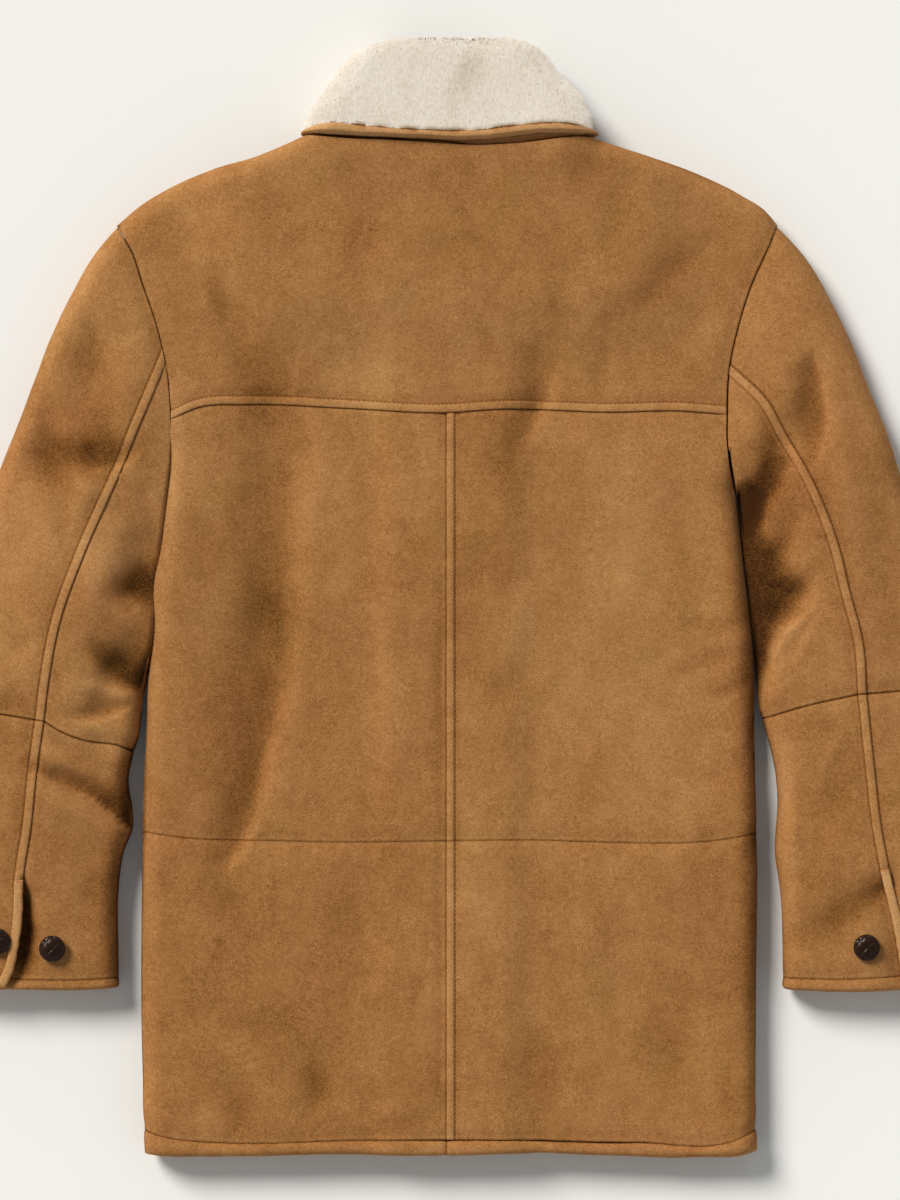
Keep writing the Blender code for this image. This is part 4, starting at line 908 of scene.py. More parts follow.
def shell(name, outer, inner, shade, materials, turned=TURNED):
    """Closed cloth piece between two grids of points, outside first."""
    rows, columns = outer.shape[:2]
    index = np.arange(rows * columns).reshape(rows, columns)
    under = index + rows * columns
    middle = (rows // 2, columns // 3)
    down = outer[middle[0] + 1, middle[1]] - outer[middle]
    across = outer[middle[0], middle[1] + 1] - outer[middle]
    normal = np.cross(across, down)
    flip = bool(normal @ (outer[middle] - inner[middle]) < 0)
    faces = [grid_faces(index, flip), grid_faces(under, not flip)]
    lining = np.ones((rows - 1, columns - 1), int)
    if turned:
        lining[:turned] = lining[-turned:] = 0
        lining[:, :turned] = lining[:, -turned:] = 0
    rims = (
        strip_faces(index[0], under[0], flip),
        strip_faces(index[-1][::-1], under[-1][::-1], flip),
        strip_faces(index[:, 0][::-1], under[:, 0][::-1], flip),
        strip_faces(index[:, -1], under[:, -1], flip),
    )
    faces += rims
    rest = sum(len(part) for part in rims)
    slots = np.concatenate((np.zeros(len(faces[0]), int), lining.ravel(), np.zeros(rest, int)))
    vertices = np.concatenate((outer.reshape(-1, 3), inner.reshape(-1, 3)))
    tones = np.concatenate((shade.ravel(), np.zeros(shade.size)))
    return mesh_object(name, vertices, np.concatenate(faces), materials, slots, {"shade": tones})


# ------------------------------------------------------------------ materials


NOISE_RANGE = (0.3, 0.7)  # most of what a noise node gives


class Nodes:
    """Short way to wire a material's nodes."""

    def __init__(self, name):
        self.material = bpy.data.materials.new(name)
        self.material.use_nodes = True
        self.tree = self.material.node_tree
        self.shader = self.tree.nodes["Principled BSDF"]

    def add(self, kind, **inputs):
        node = self.tree.nodes.new(kind)
        for key, value in inputs.items():
            self.feed(node.inputs[key.replace("_", " ")], value)
        return node

    def feed(self, socket, value):
        if hasattr(value, "node"):
            self.tree.links.new(value, socket)
        else:
            socket.default_value = value

    def place(self):
        return self.add("ShaderNodeTexCoord").outputs["Object"]

    def noise(self, scale, detail=2.0, stretch=None):
        where = self.place()
        if stretch:
            where = self.add("ShaderNodeMapping", Vector=where, Scale=stretch).outputs["Vector"]
        return self.add(
            "ShaderNodeTexNoise", Vector=where, Scale=scale, Detail=detail, Roughness=0.55
        ).outputs["Fac"]

    def value(self, label):
        node = self.add("ShaderNodeAttribute")
        node.attribute_name = label
        return node.outputs["Fac"]

    def math(self, operation, first, second=0.0, third=0.0):
        node = self.tree.nodes.new("ShaderNodeMath")
        node.operation = operation
        for socket, value in zip(node.inputs, (first, second, third)):
            self.feed(socket, value)
        return node.outputs["Value"]

    def total(self, *values):
        result = values[0]
        for value in values[1:]:
            result = self.math("ADD", result, value)
        return result

    def mottle(self, low, high, scale, detail=2.0, stretch=None):
        """Noise, which lies around 0.5, turned into a range."""
        node = self.add("ShaderNodeMapRange", Value=self.noise(scale, detail, stretch))
        for key, number in zip(("From Min", "From Max", "To Min", "To Max"), (*NOISE_RANGE, low, high)):
            node.inputs[key].default_value = number
        return node.outputs["Result"]

    def ramp(self, value, colours):
        node = self.add("ShaderNodeValToRGB", Fac=value)
        elements = node.color_ramp.elements
        while len(elements) < len(colours):
            elements.new(0.5)
        for element, (position, colour) in zip(elements, colours):
            element.position = position
            element.color = (*colour, 1.0)
        return node.outputs["Color"]

    def bump(self, height, strength, distance, normal=None):
        node = self.add("ShaderNodeBump", Height=height, Strength=strength, Distance=distance)
        if normal:
            self.feed(node.inputs["Normal"], normal)
        return node.outputs["Normal"]

    def finish(self, **inputs):
        for key, value in inputs.items():
            self.feed(self.shader.inputs[key.replace("_", " ")], value)
        return self.material


ALONG = (1.0, 0.5, 1.0)  # stretches a pattern along the coat


def make_suede():
    nodes = Nodes("suede_nap")
    tone = nodes.total(
        nodes.mottle(-0.06, 0.06, 7.0, 4.0),
        nodes.mottle(-0.05, 0.05, 30.0, 4.0, ALONG),
        nodes.mottle(-0.035, 0.035, 75.0, 3.0),
        nodes.mottle(-0.045, 0.045, 300.0, 2.0),
        nodes.mottle(-0.13, 0.14, 1050.0, 1.0),
        # shade attribute: painted light and shade of seams, folds and gaps, with nap tone patches
        nodes.value("shade"),
        0.5,
    )
    colour = nodes.ramp(
        tone,
        (
            (0.0, (0.040, 0.0135, 0.002)),
            (0.25, (0.165, 0.064, 0.0135)),
            (0.5, (0.314, 0.137, 0.042)),
            (0.72, (0.43, 0.218, 0.082)),
            (1.0, (0.58, 0.345, 0.158)),
        ),
    )
    warmth = nodes.mottle(0.4972, 0.5035, 16.0, 3.0)
    colour = nodes.add("ShaderNodeHueSaturation", Color=colour, Hue=warmth).outputs["Color"]
    rough = nodes.bump(nodes.noise(160.0, 3.0), 0.2, 0.0005)
    rough = nodes.bump(nodes.noise(1300.0, 2.0), 0.4, 0.0003, rough)
    return nodes.finish(
        Base_Color=colour,
        Roughness=0.95,
        Normal=rough,
        Specular_IOR_Level=0.08,
        Sheen_Weight=0.03,
        Sheen_Roughness=0.5,
        Sheen_Tint=(0.9, 0.6, 0.35, 1.0),
    )


def make_wool():
    nodes = Nodes("wool_pile")
    tone = nodes.mottle(0.2, 0.8, 500.0, 3.0)
    colour = nodes.ramp(tone, ((0.0, (0.45, 0.38, 0.29)), (1.0, (0.86, 0.80, 0.69))))
    rough = nodes.bump(nodes.noise(400.0, 3.0), 0.8, 0.001)
    return nodes.finish(Base_Color=colour, Roughness=0.95, Normal=rough)


def make_fur():
    nodes = Nodes("collar_fur")
    tone = nodes.total(
        nodes.mottle(-0.06, 0.06, 22.0, 3.0, ALONG),
        nodes.mottle(-0.09, 0.09, 520.0, 2.0, ALONG),
        # shade attribute: painted shade of the fur's creases, between its hairs and in the bare gaps, with
        # random tone
        nodes.value("shade"),
        0.64,
    )
    colour = nodes.ramp(
        tone,
        (
            (0.0, (0.22, 0.14, 0.07)),
            (0.35, (0.52, 0.44, 0.33)),
            (0.64, (0.72, 0.66, 0.585)),
            (1.0, (0.84, 0.795, 0.735)),
        ),
    )
    return nodes.finish(
        Base_Color=colour,
        Roughness=0.95,
        Normal=nodes.bump(nodes.noise(500.0, 3.0, ALONG), 0.35, 0.0006),
        Specular_IOR_Level=0.2,
        Sheen_Weight=0.1,
        Sheen_Tint=(1.0, 0.97, 0.9, 1.0),
        Subsurface_Weight=0.15,
        Subsurface_Radius=(0.004, 0.003, 0.002),
    )


def make_button_leather():
    nodes = Nodes("woven_leather")
    tone = nodes.mottle(0.3, 0.7, 900.0, 3.0)
    return nodes.finish(
        Base_Color=nodes.ramp(tone, ((0.0, (0.009, 0.0035, 0.002)), (1.0, (0.022, 0.009, 0.005)))),
        Roughness=0.3,
        Normal=nodes.bump(nodes.noise(1500.0, 2.0), 0.15, 0.0002),
        Specular_IOR_Level=0.22,
        Specular_Tint=(1.0, 0.82, 0.7, 1.0),
    )


def make_thread():
    nodes = Nodes("thread")
    tone = nodes.mottle(0.2, 0.8, 2500.0, 2.0)
    colour = nodes.ramp(tone, ((0.0, (0.10, 0.040, 0.013)), (1.0, (0.18, 0.075, 0.024))))
    return nodes.finish(Base_Color=colour, Roughness=0.9, Specular_IOR_Level=0.1)


def make_floor():
    nodes = Nodes("floor_paper")
    tone = nodes.mottle(0.4, 0.6, 3.0, 2.0)
    colour = nodes.ramp(tone, ((0.0, (0.795, 0.780, 0.740)), (1.0, (0.805, 0.790, 0.750))))
    return nodes.finish(Base_Color=colour, Roughness=0.95)


SUEDE = make_suede()
WOOL = make_wool()
FUR = make_fur()
BUTTON_LEATHER = make_button_leather()
THREAD = make_thread()

# ------------------------------------------------------------------ body panels

PIECES = {}
WITH_PIECES = {}  # small pieces that go with a sheet, by the sheet's node


def cloth(node, outer, inner, edges):
    on_sleeve = node.startswith(("sleeve", "cuff"))
    shaped, shade = relief(outer, inner, edges, SLEEVE_CREASES if on_sleeve else BODY_CREASES)
    piece = shell(f"{node}_cloth", shaped, inner, shade, (SUEDE, WOOL))
    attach(piece, ROOT)
    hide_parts(node)
    PIECES[node] = (piece, outer)
    for place, kind in edges.items():
        if kind in ("over", "lapped"):
            sew(node, seam_row(shaped, place, kind))
    return piece


STITCH_RINGS = 5
STITCH_ARCH, STITCH_SUNK, STITCH_TIP = 1.3, 0.7, 0.45  # times its radius


def seam_row(points, place, kind):
    """Grid line of the topstitching beside an edge."""
    axis, reverse = EDGE_PLACES[place]
    index = EDGE_STOPS["over"].index(STITCH_INSET if kind == "over" else LAPPED_INSET)
    return np.take(points, -1 - index if reverse else index, axis=axis)


def sew(node, line):
    """Row of sunk stitches along a line of points, joined as one mesh."""
    steps = np.linalg.norm(np.diff(line, axis=0), axis=1)
    lengths = np.concatenate(([0.0], np.cumsum(steps)))
    starts = np.arange(STITCH_PITCH / 2, lengths[-1] - STITCH_PITCH, STITCH_PITCH)
    shares = np.linspace(0, 1, STITCH_RINGS)
    places = starts[:, None] + STITCH_LENGTH * shares
    middle = np.stack([np.interp(places, lengths, line[:, axis]) for axis in range(3)], axis=-1)
    arch = np.sin(np.pi * shares)
    middle[..., 2] += STITCH_RADIUS * (STITCH_ARCH * arch - STITCH_SUNK)
    run = unit(middle[:, -1] - middle[:, 0])
    aside = unit(np.cross(run, (0.0, 0.0, 1.0)))
    above = np.cross(aside, run)
    angles = np.linspace(0, 2 * np.pi, STITCH_SIDES, endpoint=False)
    radius = STITCH_RADIUS * (STITCH_TIP + (1 - STITCH_TIP) * arch**0.5)
    ring = np.cos(angles)[:, None] * aside[:, None, None] + np.sin(angles)[:, None] * above[:, None, None]
    points = middle[:, :, None] + radius[:, None, None] * ring
    count, rings = points.shape[:2]
    index = np.arange(count * rings * STITCH_SIDES).reshape(count, rings, STITCH_SIDES)
    wrapped = np.concatenate((index, index[..., :1]), axis=2)
    corners = (wrapped[:, :-1, :-1], wrapped[:, :-1, 1:], wrapped[:, 1:, 1:], wrapped[:, 1:, :-1])
    sides = np.stack(corners, axis=-1).reshape(-1, 4)
    caps = [index[:, 0, (0, 3, 2, 1)], index[:, 0, (0, 5, 4, 3)]]
    caps += [index[:, -1, (0, 1, 2, 3)], index[:, -1, (0, 3, 4, 5)]]
    faces = np.concatenate((sides, *caps))
    piece = mesh_object(f"{node}_stitches", points.reshape(-1, 3), faces, (THREAD,))
    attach(piece, ROOT)
    WITH_PIECES.setdefault(node, []).append(piece)


def panel_grid(plan, side, edges, step):
    """Plan points of a body panel and how far its round edges have risen at each."""
    ones = np.ones(DENSE)
    dense = np.linspace(0, 1, DENSE)
    width = np.linalg.norm(plan(ones, dense) - plan(0 * ones, dense), axis=-1)
    near_s, far_s = stops(edges["start"]), stops(edges["end"])
    near_t, far_t = stops(edges["first"]), stops(edges["last"])
    columns = count_between(width.mean(), near_s, far_s, step)
    s_line = spread(width.mean(), near_s, far_s, columns) / width.mean()
    height = np.linalg.norm(
        plan(s_line, np.ones_like(s_line)) - plan(s_line, 0 * s_line), axis=-1
    )
    rows = count_between(height.mean(), near_t, far_t, step)
    from_top = spread(height, near_t, far_t, rows).T
    t = from_top / height
    row_width = np.interp(t.mean(axis=1), dense, width)
    from_side = spread(row_width, near_s, far_s, columns)
    s = from_side / row_width[:, None]
    points = plan(s, t)
    x, y = points[..., 0], points[..., 1]
    rise, opening = np.ones_like(x), np.ones_like(x)
    if side is not None:
        fade = side_fade(side, y)
        rise = rise * (1 - fade + fade * round_edge(from_side))
        opening = opening * (1 - fade + fade * inner_edge(from_side))
    if edges["first"] == "fold":
        fade = neck_fade(x)
        rise = rise * (1 - fade + fade * round_edge(from_top))
        opening = opening * (1 - fade + fade * inner_edge(from_top))
    return points, rise, opening


def end_round(outer):
    """Share by which a bound edge has turned in, up to 1 at its last row."""
    return 1 - quarter(reach(outer, 0, reverse=True) / BAND_ROUND)


def rounded_end(outer, inner):
    """Pull both faces of a bound edge together towards its last row."""
    thick = (outer - inner)[..., 2]
    turn = np.sign(thick) * np.minimum(BAND_ROUND, BAND_TURN * np.abs(thick)) * end_round(outer)
    outer, inner = outer.copy(), inner.copy()
    outer[..., 2] -= turn
    inner[..., 2] += turn
    return outer, inner


def back_panel(name, plan, side, edges):
    points, rise, opening = panel_grid(plan, side, edges, FINE)
    x, y = points[..., 0], points[..., 1]
    middle = middle_z(x, y)
    floor = base_z(x, y) + fronts_thick(x, y) + LAYER_GAP
    roof = floor + wall(x, y) - fold_depth(x, y)
    outer = with_height(points, middle + (roof - middle) * rise)
    under = middle + EDGE_SEAM / 2 + (floor - middle - EDGE_SEAM / 2) * opening
    inner = with_height(points, under)
    if edges["last"] == "bound":
        outer, inner = rounded_end(outer, inner)
        outer[..., 2] += band_puff(outer)
    cloth(name, outer, inner, edges)


def band_puff(outer):
    """Swell of a binding between its seam and its end."""
    d = reach(outer, 0)
    return BAND_SWELL * np.sin(np.pi * np.clip(d / d[-1], 0, 1) ** BAND_SWELL_POWER)


def front_panel(name, plan, side, edges):
    points, rise, opening = panel_grid(plan, side, edges, COARSE)
    x, y = points[..., 0], points[..., 1]
    middle = middle_z(x, y)
    base = base_z(x, y)
    both = fronts_thick(x, y)
    past = OVERLAP_HALF + OVERLAP_CLEAR
    if side == "left":
        share = smooth((x + past + OVERLAP_RAMP) / OVERLAP_RAMP)
        roof = base + both * (1 - share) + (both / 2 - SEAM / 2) * share
        floor = base + button_dents(x, y)
    else:
        share = 1 - smooth((x - past) / OVERLAP_RAMP)
        roof = base + both
        floor = base + (both / 2 + SEAM / 2) * share
    outer = with_height(points, middle - (middle - floor) * rise)
    over = middle - EDGE_SEAM / 2 - (middle - EDGE_SEAM / 2 - roof) * opening
    inner = with_height(points, over)
    if edges["last"] == "bound":
        outer, inner = rounded_end(outer, inner)
    cloth(name, outer, inner, edges)


def button_dents(x, y):
    depth = np.zeros_like(x)
    for button_y in FRONT_BUTTON_YS:
        away = np.hypot(x, y - button_y)
        depth += RECESS_DEPTH * (1 - smooth((away - RECESS_RADIUS) / RECESS_RAMP))
    return depth


def centre_to_side(side, x_centre, table):
    y_side = table[SIDE_END[side]][1]
    return seam_curve(table, (float(body_x(side, y_side)), x_centre))


def half_plan(side, over, below, x_centre=CENTRE_BACK_X):
    """Plan of half the body between two seams, from its side to x_centre."""
    end = SIDE_END[side]
    return patch(
        side_curve(side, over[end][1], below[end][1]),
        upright(x_centre, float(along(over, x_centre)), float(along(below, x_centre))),
        centre_to_side(side, x_centre, over),
        centre_to_side(side, x_centre, below),
    )


def shoulder_point(side):
    return BODY_SIDES[0][SIDE_COLUMN[side]]


BAND_EDGES = {"first": "band", "last": "bound", "start": "fold", "end": "band"}


def build_back():
    yoke_left = float(body_x("left", YOKE_SEAM[0][1]))
    yoke_right = float(body_x("right", YOKE_SEAM[-1][1]))
    half = (CENTRE_BACK_X - yoke_left) / (yoke_right - yoke_left)
    shoulders = (shoulder_point("left"), CENTRE_BACK_X, shoulder_point("right"))
    yoke = patch(
        side_curve("left", BODY_SIDES[0][0], YOKE_SEAM[0][1]),
        side_curve("right", BODY_SIDES[0][0], YOKE_SEAM[-1][1]),
        seam_curve(SHOULDER_LINE, shoulders, (0.0, half, 1.0)),
        seam_curve(YOKE_SEAM, (yoke_left, yoke_right)),
    )
    edges = {"first": "fold", "last": "lapped", "start": "plain", "end": "plain"}
    back_panel("yoke_back", yoke, None, edges)
    for side, centre in (("left", "under"), ("right", "lapped")):
        edges = {"first": "under", "last": "plain", "start": "fold", "end": centre}
        back_panel(f"back_upper_{side}", half_plan(side, YOKE_SEAM, WAIST_SEAM), side, edges)
        edges = {**edges, "first": "plain"}
        back_panel(f"back_lower_{side}", half_plan(side, WAIST_SEAM, HEM_SEAM), side, edges)
        back_panel(f"hem_band_back_{side}", half_plan(side, HEM_SEAM, HEM_END), side, BAND_EDGES)


def front_top_curve(side, x_edge):
    x_from = shoulder_point(side)

    def at(share):
        x = x_from + (x_edge - x_from) * np.asarray(share, float)
        neck = along(FRONT_NECK, np.abs(x))
        y = np.where(np.abs(x) < NECK_HALF, neck, along(SHOULDER_LINE, x))
        return np.stack((x, y), axis=-1)

    return at


def build_fronts():
    for side, x_edge in (("left", OVERLAP_HALF), ("right", -OVERLAP_HALF)):
        top = front_top_curve(side, x_edge)
        edge = upright(x_edge, float(top(1.0)[1]), float(along(HEM_SEAM, x_edge)))
        outline = side_curve(side, BODY_SIDES[0][0], HEM_SEAM[SIDE_END[side]][1])
        plan = patch(outline, edge, top, centre_to_side(side, x_edge, HEM_SEAM))
        edges = {"first": "fold", "last": "plain", "start": "fold", "end": "bound"}
        front_panel(f"front_{side}", plan, side, edges)
        band = half_plan(side, HEM_SEAM, HEM_END, x_edge)
        front_panel(f"hem_band_front_{side}", band, side, BAND_EDGES)


# ------------------------------------------------------------------ sleeves


def sleeve_plans(side):
    cut = SLEEVES[side]
    y_seam = cut["seam_top_y"]
    y_under = UNDERARM_Y[side]
    beside = [
        (float(body_x(side, y)) + cut["side"] * clearance, y)
        for y, clearance in ((y_under, SIDE_CLEARANCE), *BESIDE_BODY[side])
    ]
    seam_start = (float(body_x(side, y_seam)), y_seam)
    seam_upper = curve((seam_start, *cut["seam"]))
    seam_lower = curve(cut["seam_lower"])
    return {
        ("outer", "upper"): patch(
            seam_upper,
            curve(cut["outer"]),
            side_curve(side, y_seam, BODY_SIDES[0][0]),
            curve(cut["elbow_outer"]),
        ),
        ("inner", "upper"): patch(
            seam_upper,
            curve((*beside, *cut["inner_bend"])),
            side_curve(side, y_seam, y_under),
            curve(cut["elbow_inner"]),
        ),
        ("outer", "lower"): patch(
            seam_lower,
            curve(cut["outer_lower"]),
            curve(cut["elbow_outer"]),
            curve(cut["cuff_end_outer"]),
        ),
        ("inner", "lower"): patch(
            seam_lower,
            curve(cut["inner_lower"]),
            curve(cut["elbow_inner"]),
            curve(cut["cuff_end_inner"]),
        ),
    }


def row_reader(plan, t):
    s = np.linspace(0, 1, DENSE)
    points = plan(s, np.full(DENSE, t))
    steps = np.hypot(*np.diff(points, axis=0).T)
    from_edge = np.concatenate((np.cumsum(steps[::-1])[::-1], [0.0]))

    def at(distance):
        share = np.interp(distance, from_edge[::-1], s[::-1])
        return plan(share, np.full_like(share, t))

    return from_edge[0], at


BESIDE_TIGHTER = 3.0  # times less rounding where a sleeve lies against the body
BESIDE_YS = {"left": (-84.0, 30.0), "right": (84.0, 24.0)}


def beside(side, y):
    low, run = BESIDE_YS[side]
    return smooth((y - low) / run)


def plan_slant(plan, t):
    """Sine of the angle between a row of the plan and the seam at its start."""
    low, high = max(t - SLANT_STEP, 0.0), min(t + SLANT_STEP, 1.0)
    seam = plan(0.0, high) - plan(0.0, low)
    row = plan(SLANT_REACH, t) - plan(0.0, t)
    turn = abs(seam[0] * row[1] - seam[1] * row[0])
    return max(turn / (np.hypot(*seam) * np.hypot(*row)), LEAST_SLANT)


def sleeve_row(plans, side, part, level, t, counts):
    """Outer and inner outline of a sleeve part at row t: from its seam, over the fold, back under."""
    length, at = row_reader(plans[part, level], t)
    other = "inner" if part == "outer" else "outer"
    whole = length + row_reader(plans[other, level], t)[0]
    down = t * UPPER_SHARE if level == "upper" else UPPER_SHARE + t * (1 - UPPER_SHARE)
    crown = float(along(CROWN, down))
    roll = stops("fold").copy()
    roll[0] = 0.0
    seam_kind = "over" if part == "outer" else "under"
    seam_stops = stops(seam_kind)
    if part == "outer":
        seam_stops = seam_stops / plan_slant(plans[part, level], t)
    over = spread(length, roll, seam_stops, counts[0])
    below = spread(length, roll, stops("plain"), counts[1])
    faces = []
    for distance, upward in ((over, True), (below, False)):
        points = at(distance)
        x, y = points[:, 0], points[:, 1]
        rise = round_edge(distance)
        if part == "inner":
            fade = side_fade(side, y) if level == "upper" else 1.0
            if upward:
                rise = rise + (round_edge(distance * BESIDE_TIGHTER) - rise) * beside(side, y)
            rise = 1 - fade + fade * rise
            rise[0] = 0.0
        swell = crown * np.sin(np.pi * np.clip(distance / whole, 0, 1))
        middle = middle_z(x, y) + swell / 2
        cosine = 1 - np.clip(distance / FOLD_RADIUS, 0, 1)
        inside = at(np.maximum(distance, FOLD_RADIUS - TURN_RADIUS * cosine))
        half_gap = TURN_RADIUS * np.sqrt(1 - cosine**2)
        if upward:
            roof = 2 * FOLD_RADIUS + swell - fold_depth(x, y)
            if part == "inner" and level == "lower":
                in_vent = smooth((VENT_TOP_Y - y) / VENT_FADE)
                roof = roof - VENT_DIP * in_vent * bell((length - distance) / VENT_DIP_WIDTH)
            outer = with_height(points, middle + (roof - middle) * rise)
            inner = with_height(inside, middle + half_gap)
        else:
            outer = with_height(points, middle * (1 - rise))
            inner = with_height(inside, middle - half_gap)
        faces.append((outer, inner))
    (outer, inner), (outer_low, inner_low) = faces
    outer = np.concatenate((outer[::-1], outer_low[1:]))
    return outer, np.concatenate((inner[::-1], inner_low[1:]))


def sleeve_rows(plans, side, part, level, shares, counts):
    rows = [sleeve_row(plans, side, part, level, t, counts) for t in shares]
    return np.array([row[0] for row in rows]), np.array([row[1] for row in rows])


WIDEST_ROWS = (("upper", 0.7), ("lower", 0.5))  # where each half's mesh spacing is set


def part_counts(plans, part):
    width = max(row_reader(plans[part, level], t)[0] for level, t in WIDEST_ROWS)
    roll = stops("fold")
    fine = count_between(width, roll, stops("over" if part == "outer" else "under"), FINE)
    return fine, count_between(width, roll, stops("plain"), COARSE)


def build_sleeve(side):
    plans = sleeve_plans(side)
    names = {"outer": "top", "inner": "under"}
    counts = {part: part_counts(plans, part) for part in names}
    for (part, level), plan in plans.items():
        length = np.linalg.norm(plan(0.5, 1.0) - plan(0.5, 0.0))
        near, far = stops("plain"), stops("plain")
        whole = length if level == "upper" else length * CUFF_START
        if level == "upper":
            near = near + ARMHOLE_EASE
        shares = spread(whole, near, far, count_between(whole, near, far, FINE)) / length
        outer, inner = sleeve_rows(plans, side, part, level, shares, counts[part])
        seam_kind = "over" if part == "outer" else "under"
        edges = {"first": "plain", "last": "elbow", "start": seam_kind, "end": "plain"}
        if level == "lower":
            edges.update(first="elbow", last="plain")
        elif part == "inner":
            edges.update(end="beside", first="beside" if side == "left" else "plain")
        cloth(f"sleeve_{side}_{names[part]}_{level}", outer, inner, edges)
    build_cuff(side, plans, counts)
    build_placket(side, plans, counts)


def build_cuff(side, plans, counts):
    length = np.linalg.norm(plans["outer", "lower"](0.5, 1.0) - plans["outer", "lower"](0.5, 0.0))
    low = CUFF_START * length
    shares = (low + spread(length - low, stops("band"), stops("bound"), 2)) / length
    halves = [sleeve_rows(plans, side, part, "lower", shares, counts[part]) for part in counts]
    joined = [np.concatenate((first, second[:, -2::-1]), axis=1) for first, second in zip(*halves)]
    outer, inner = rounded_cuff(*joined)
    edges = {"first": "band", "last": "bound", "start": "bound", "end": "bound"}
    cloth(f"cuff_band_{side}", outer, inner, edges)


PLACKET_SHARES = (0.585, 0.992)  # along the lower sleeve
PLACKET_ROWS = 60
PLACKET_RISE, PLACKET_SINK, PLACKET_ROOT = 2.0, 1.2, 0.4
PLACKET_FOOT = 5.0  # length of its slanted foot
PLACKET_ROUND, PLACKET_SWELL = 1.6, 5  # rounding of its ends, and power of its cross-section
PLACKET_WIDER, PLACKET_RAGGED = 0.5, (0.35, 5, 5, 61)
PLACKET_UNEVEN = ((0.25, 9, 14, 62),)
PLACKET_SHADE, PLACKET_RIM, PLACKET_BAR = 0.21, 0.16, (-0.22, 1.2, 0.8)


def build_placket(side, plans, counts):
    """Pale raised strip of the open vent, along the seam from its bar to its slanted foot."""
    shares = np.linspace(*PLACKET_SHARES, PLACKET_ROWS)
    outer, inner = sleeve_rows(plans, side, "outer", "lower", shares, counts["outer"])
    columns = np.arange(EDGE_STOPS["over"].index(STITCH_INSET) + 1)
    strip = outer[:, columns]
    across = reach(strip, 1)
    share = across / across[:, -1:]
    start, end = strip[:, :1], strip[:, -1:]
    wider = noises(strip[:, :1, 1], 0 * strip[:, :1, 1], (PLACKET_RAGGED,))[..., None] + PLACKET_WIDER
    widened = start + (end - start) * share[..., None]
    strip = widened + (start - end) / STITCH_INSET * wider * (1 - share[..., None])
    down = reach(outer, 0)[:, :1]
    below = down[-1] - down - PLACKET_FOOT * share
    ends = quarter(np.minimum(down, below + 1.0) / PLACKET_ROUND)
    crown = np.sqrt(np.clip(1 - np.abs(2 * share - 1) ** PLACKET_SWELL, 0, 1))
    height = (PLACKET_RISE + PLACKET_SINK) * crown * ends - PLACKET_SINK
    height = noises(strip[..., 0], strip[..., 1], PLACKET_UNEVEN, height)
    shade = PLACKET_SHADE - PLACKET_RIM * (1 - crown) + bells(down, (PLACKET_BAR,)) + 0 * share
    normals = grid_normals(outer, inner)[:, columns]
    top = strip + normals * height[..., None]
    root = strip - normals * (PLACKET_SINK + PLACKET_ROOT)
    piece = shell(f"cuff_placket_{side}_cloth", top, root, shade, (SUEDE, SUEDE))
    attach(piece, ROOT)
    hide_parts(f"cuff_placket_{side}")
    WITH_PIECES.setdefault(f"sleeve_{side}_top_lower", []).append(piece)


def rounded_cuff(outer, inner):
    turn = BAND_TURN * (outer - inner) * end_round(outer)[..., None]
    return outer - turn, inner + turn


# ------------------------------------------------------------------ collar

COLLAR_STEP, FRONT_STEP = 1.8, 4.0
DROP_ROWS, FOLD_ROWS, BACK_ROWS, BINDING_ROWS = 42, 21, 12, 16
BAND_TAPER_FROM, BAND_TAPER, BAND_TAPERED = 100.0, 24.0, 0.6
BINDING_SINK, BINDING_INSIDE = 0.8, 0.6
BINDING_LEAD, LEAD_SHARE = 3.2, 0.3  # how far and how long its top tucks under the fur
CURL_FROM, CURL_RUN = 0.55, 0.45  # shares of its height, where and over which it curls under
BINDING_UNEVEN = ((0.35, 14, 14, 51), (0.2, 5, 5, 52))
# binding: a paler tone, partly its own leather and partly painted light on its roll; a painted shadow line
# below the fur, wider in the bare gaps; painted shade at its foot
BINDING_TONE_AND_PAINTED_LIGHT, FUR_PAINTED_SHADOW_LINE, BARE_GAP_PAINTED_SHADOW_LINE, FOOT_PAINTED_SHADE_LINE = 0.26, 0.34, 0.30, (-0.10, 0, 1.4)
FUR_SINK = 1.5  # of the skin below the fur's reach
FUR_UNEVEN = ((0.9, 17, 21, 31), (0.5, 7, 9, 32))
FUR_LOCKS = ((0.2, 3.6, 7.5, 33),)
FUR_ROUND = ((-1.2, 0, 1.6),)  # at its lower edge
PILE_COUNT, TUFT_COUNT = 56000, 11000
PILE_LENGTH, HAIR_WIDTH = 3.6, 0.5
PILE_FALL, PILE_SWAY, PILE_SCATTER = 1.3, 0.2, 0.5  # of its direction, against straight up
PILE_END = 0.7  # share of the fold that carries it
PILE_BELOW, BELOW_TILT = 0.35, -0.3  # its share on the under side, and where that starts
PILE_SWAYS = ((1, 7, 11, 41), (1, 7, 11, 42))
PILE_LENGTHS, PILE_LEAST, PILE_RANGE = ((0.2, 4, 6, 43),), 0.8, (0.75, 1.1)
PILE_TONES, RIGHT_TONES, RIGHT_FROM = ((0.07, 1.8, 4.5, 44),), ((0.08, 2.8, 3.2, 48),), (20, 40)
PILE_SPECKS, TUFT_SPECKS = 0.08, 0.04
FACING_SWAY, FACING_SCATTER = 0.08, 0.12
TUFT_RISE, TUFT_SCATTER = 0.35, 0.14
TUFT_CLUMPS, CLUMP_MEAN, CLUMP_MOST = ((0.6, 6.5, 1, 45), (0.5, 2.2, 1, 46)), 0.6, 1.2
TUFT_SIDES = ((0.4, 3.1, 1, 47),)
TUFT_SHORT, TUFT_LONG, TUFT_ROOT = 0.4, 4.2, 1.5
FUR_SEED, PILE_SEED, TUFT_SEED = 7, 8, 9
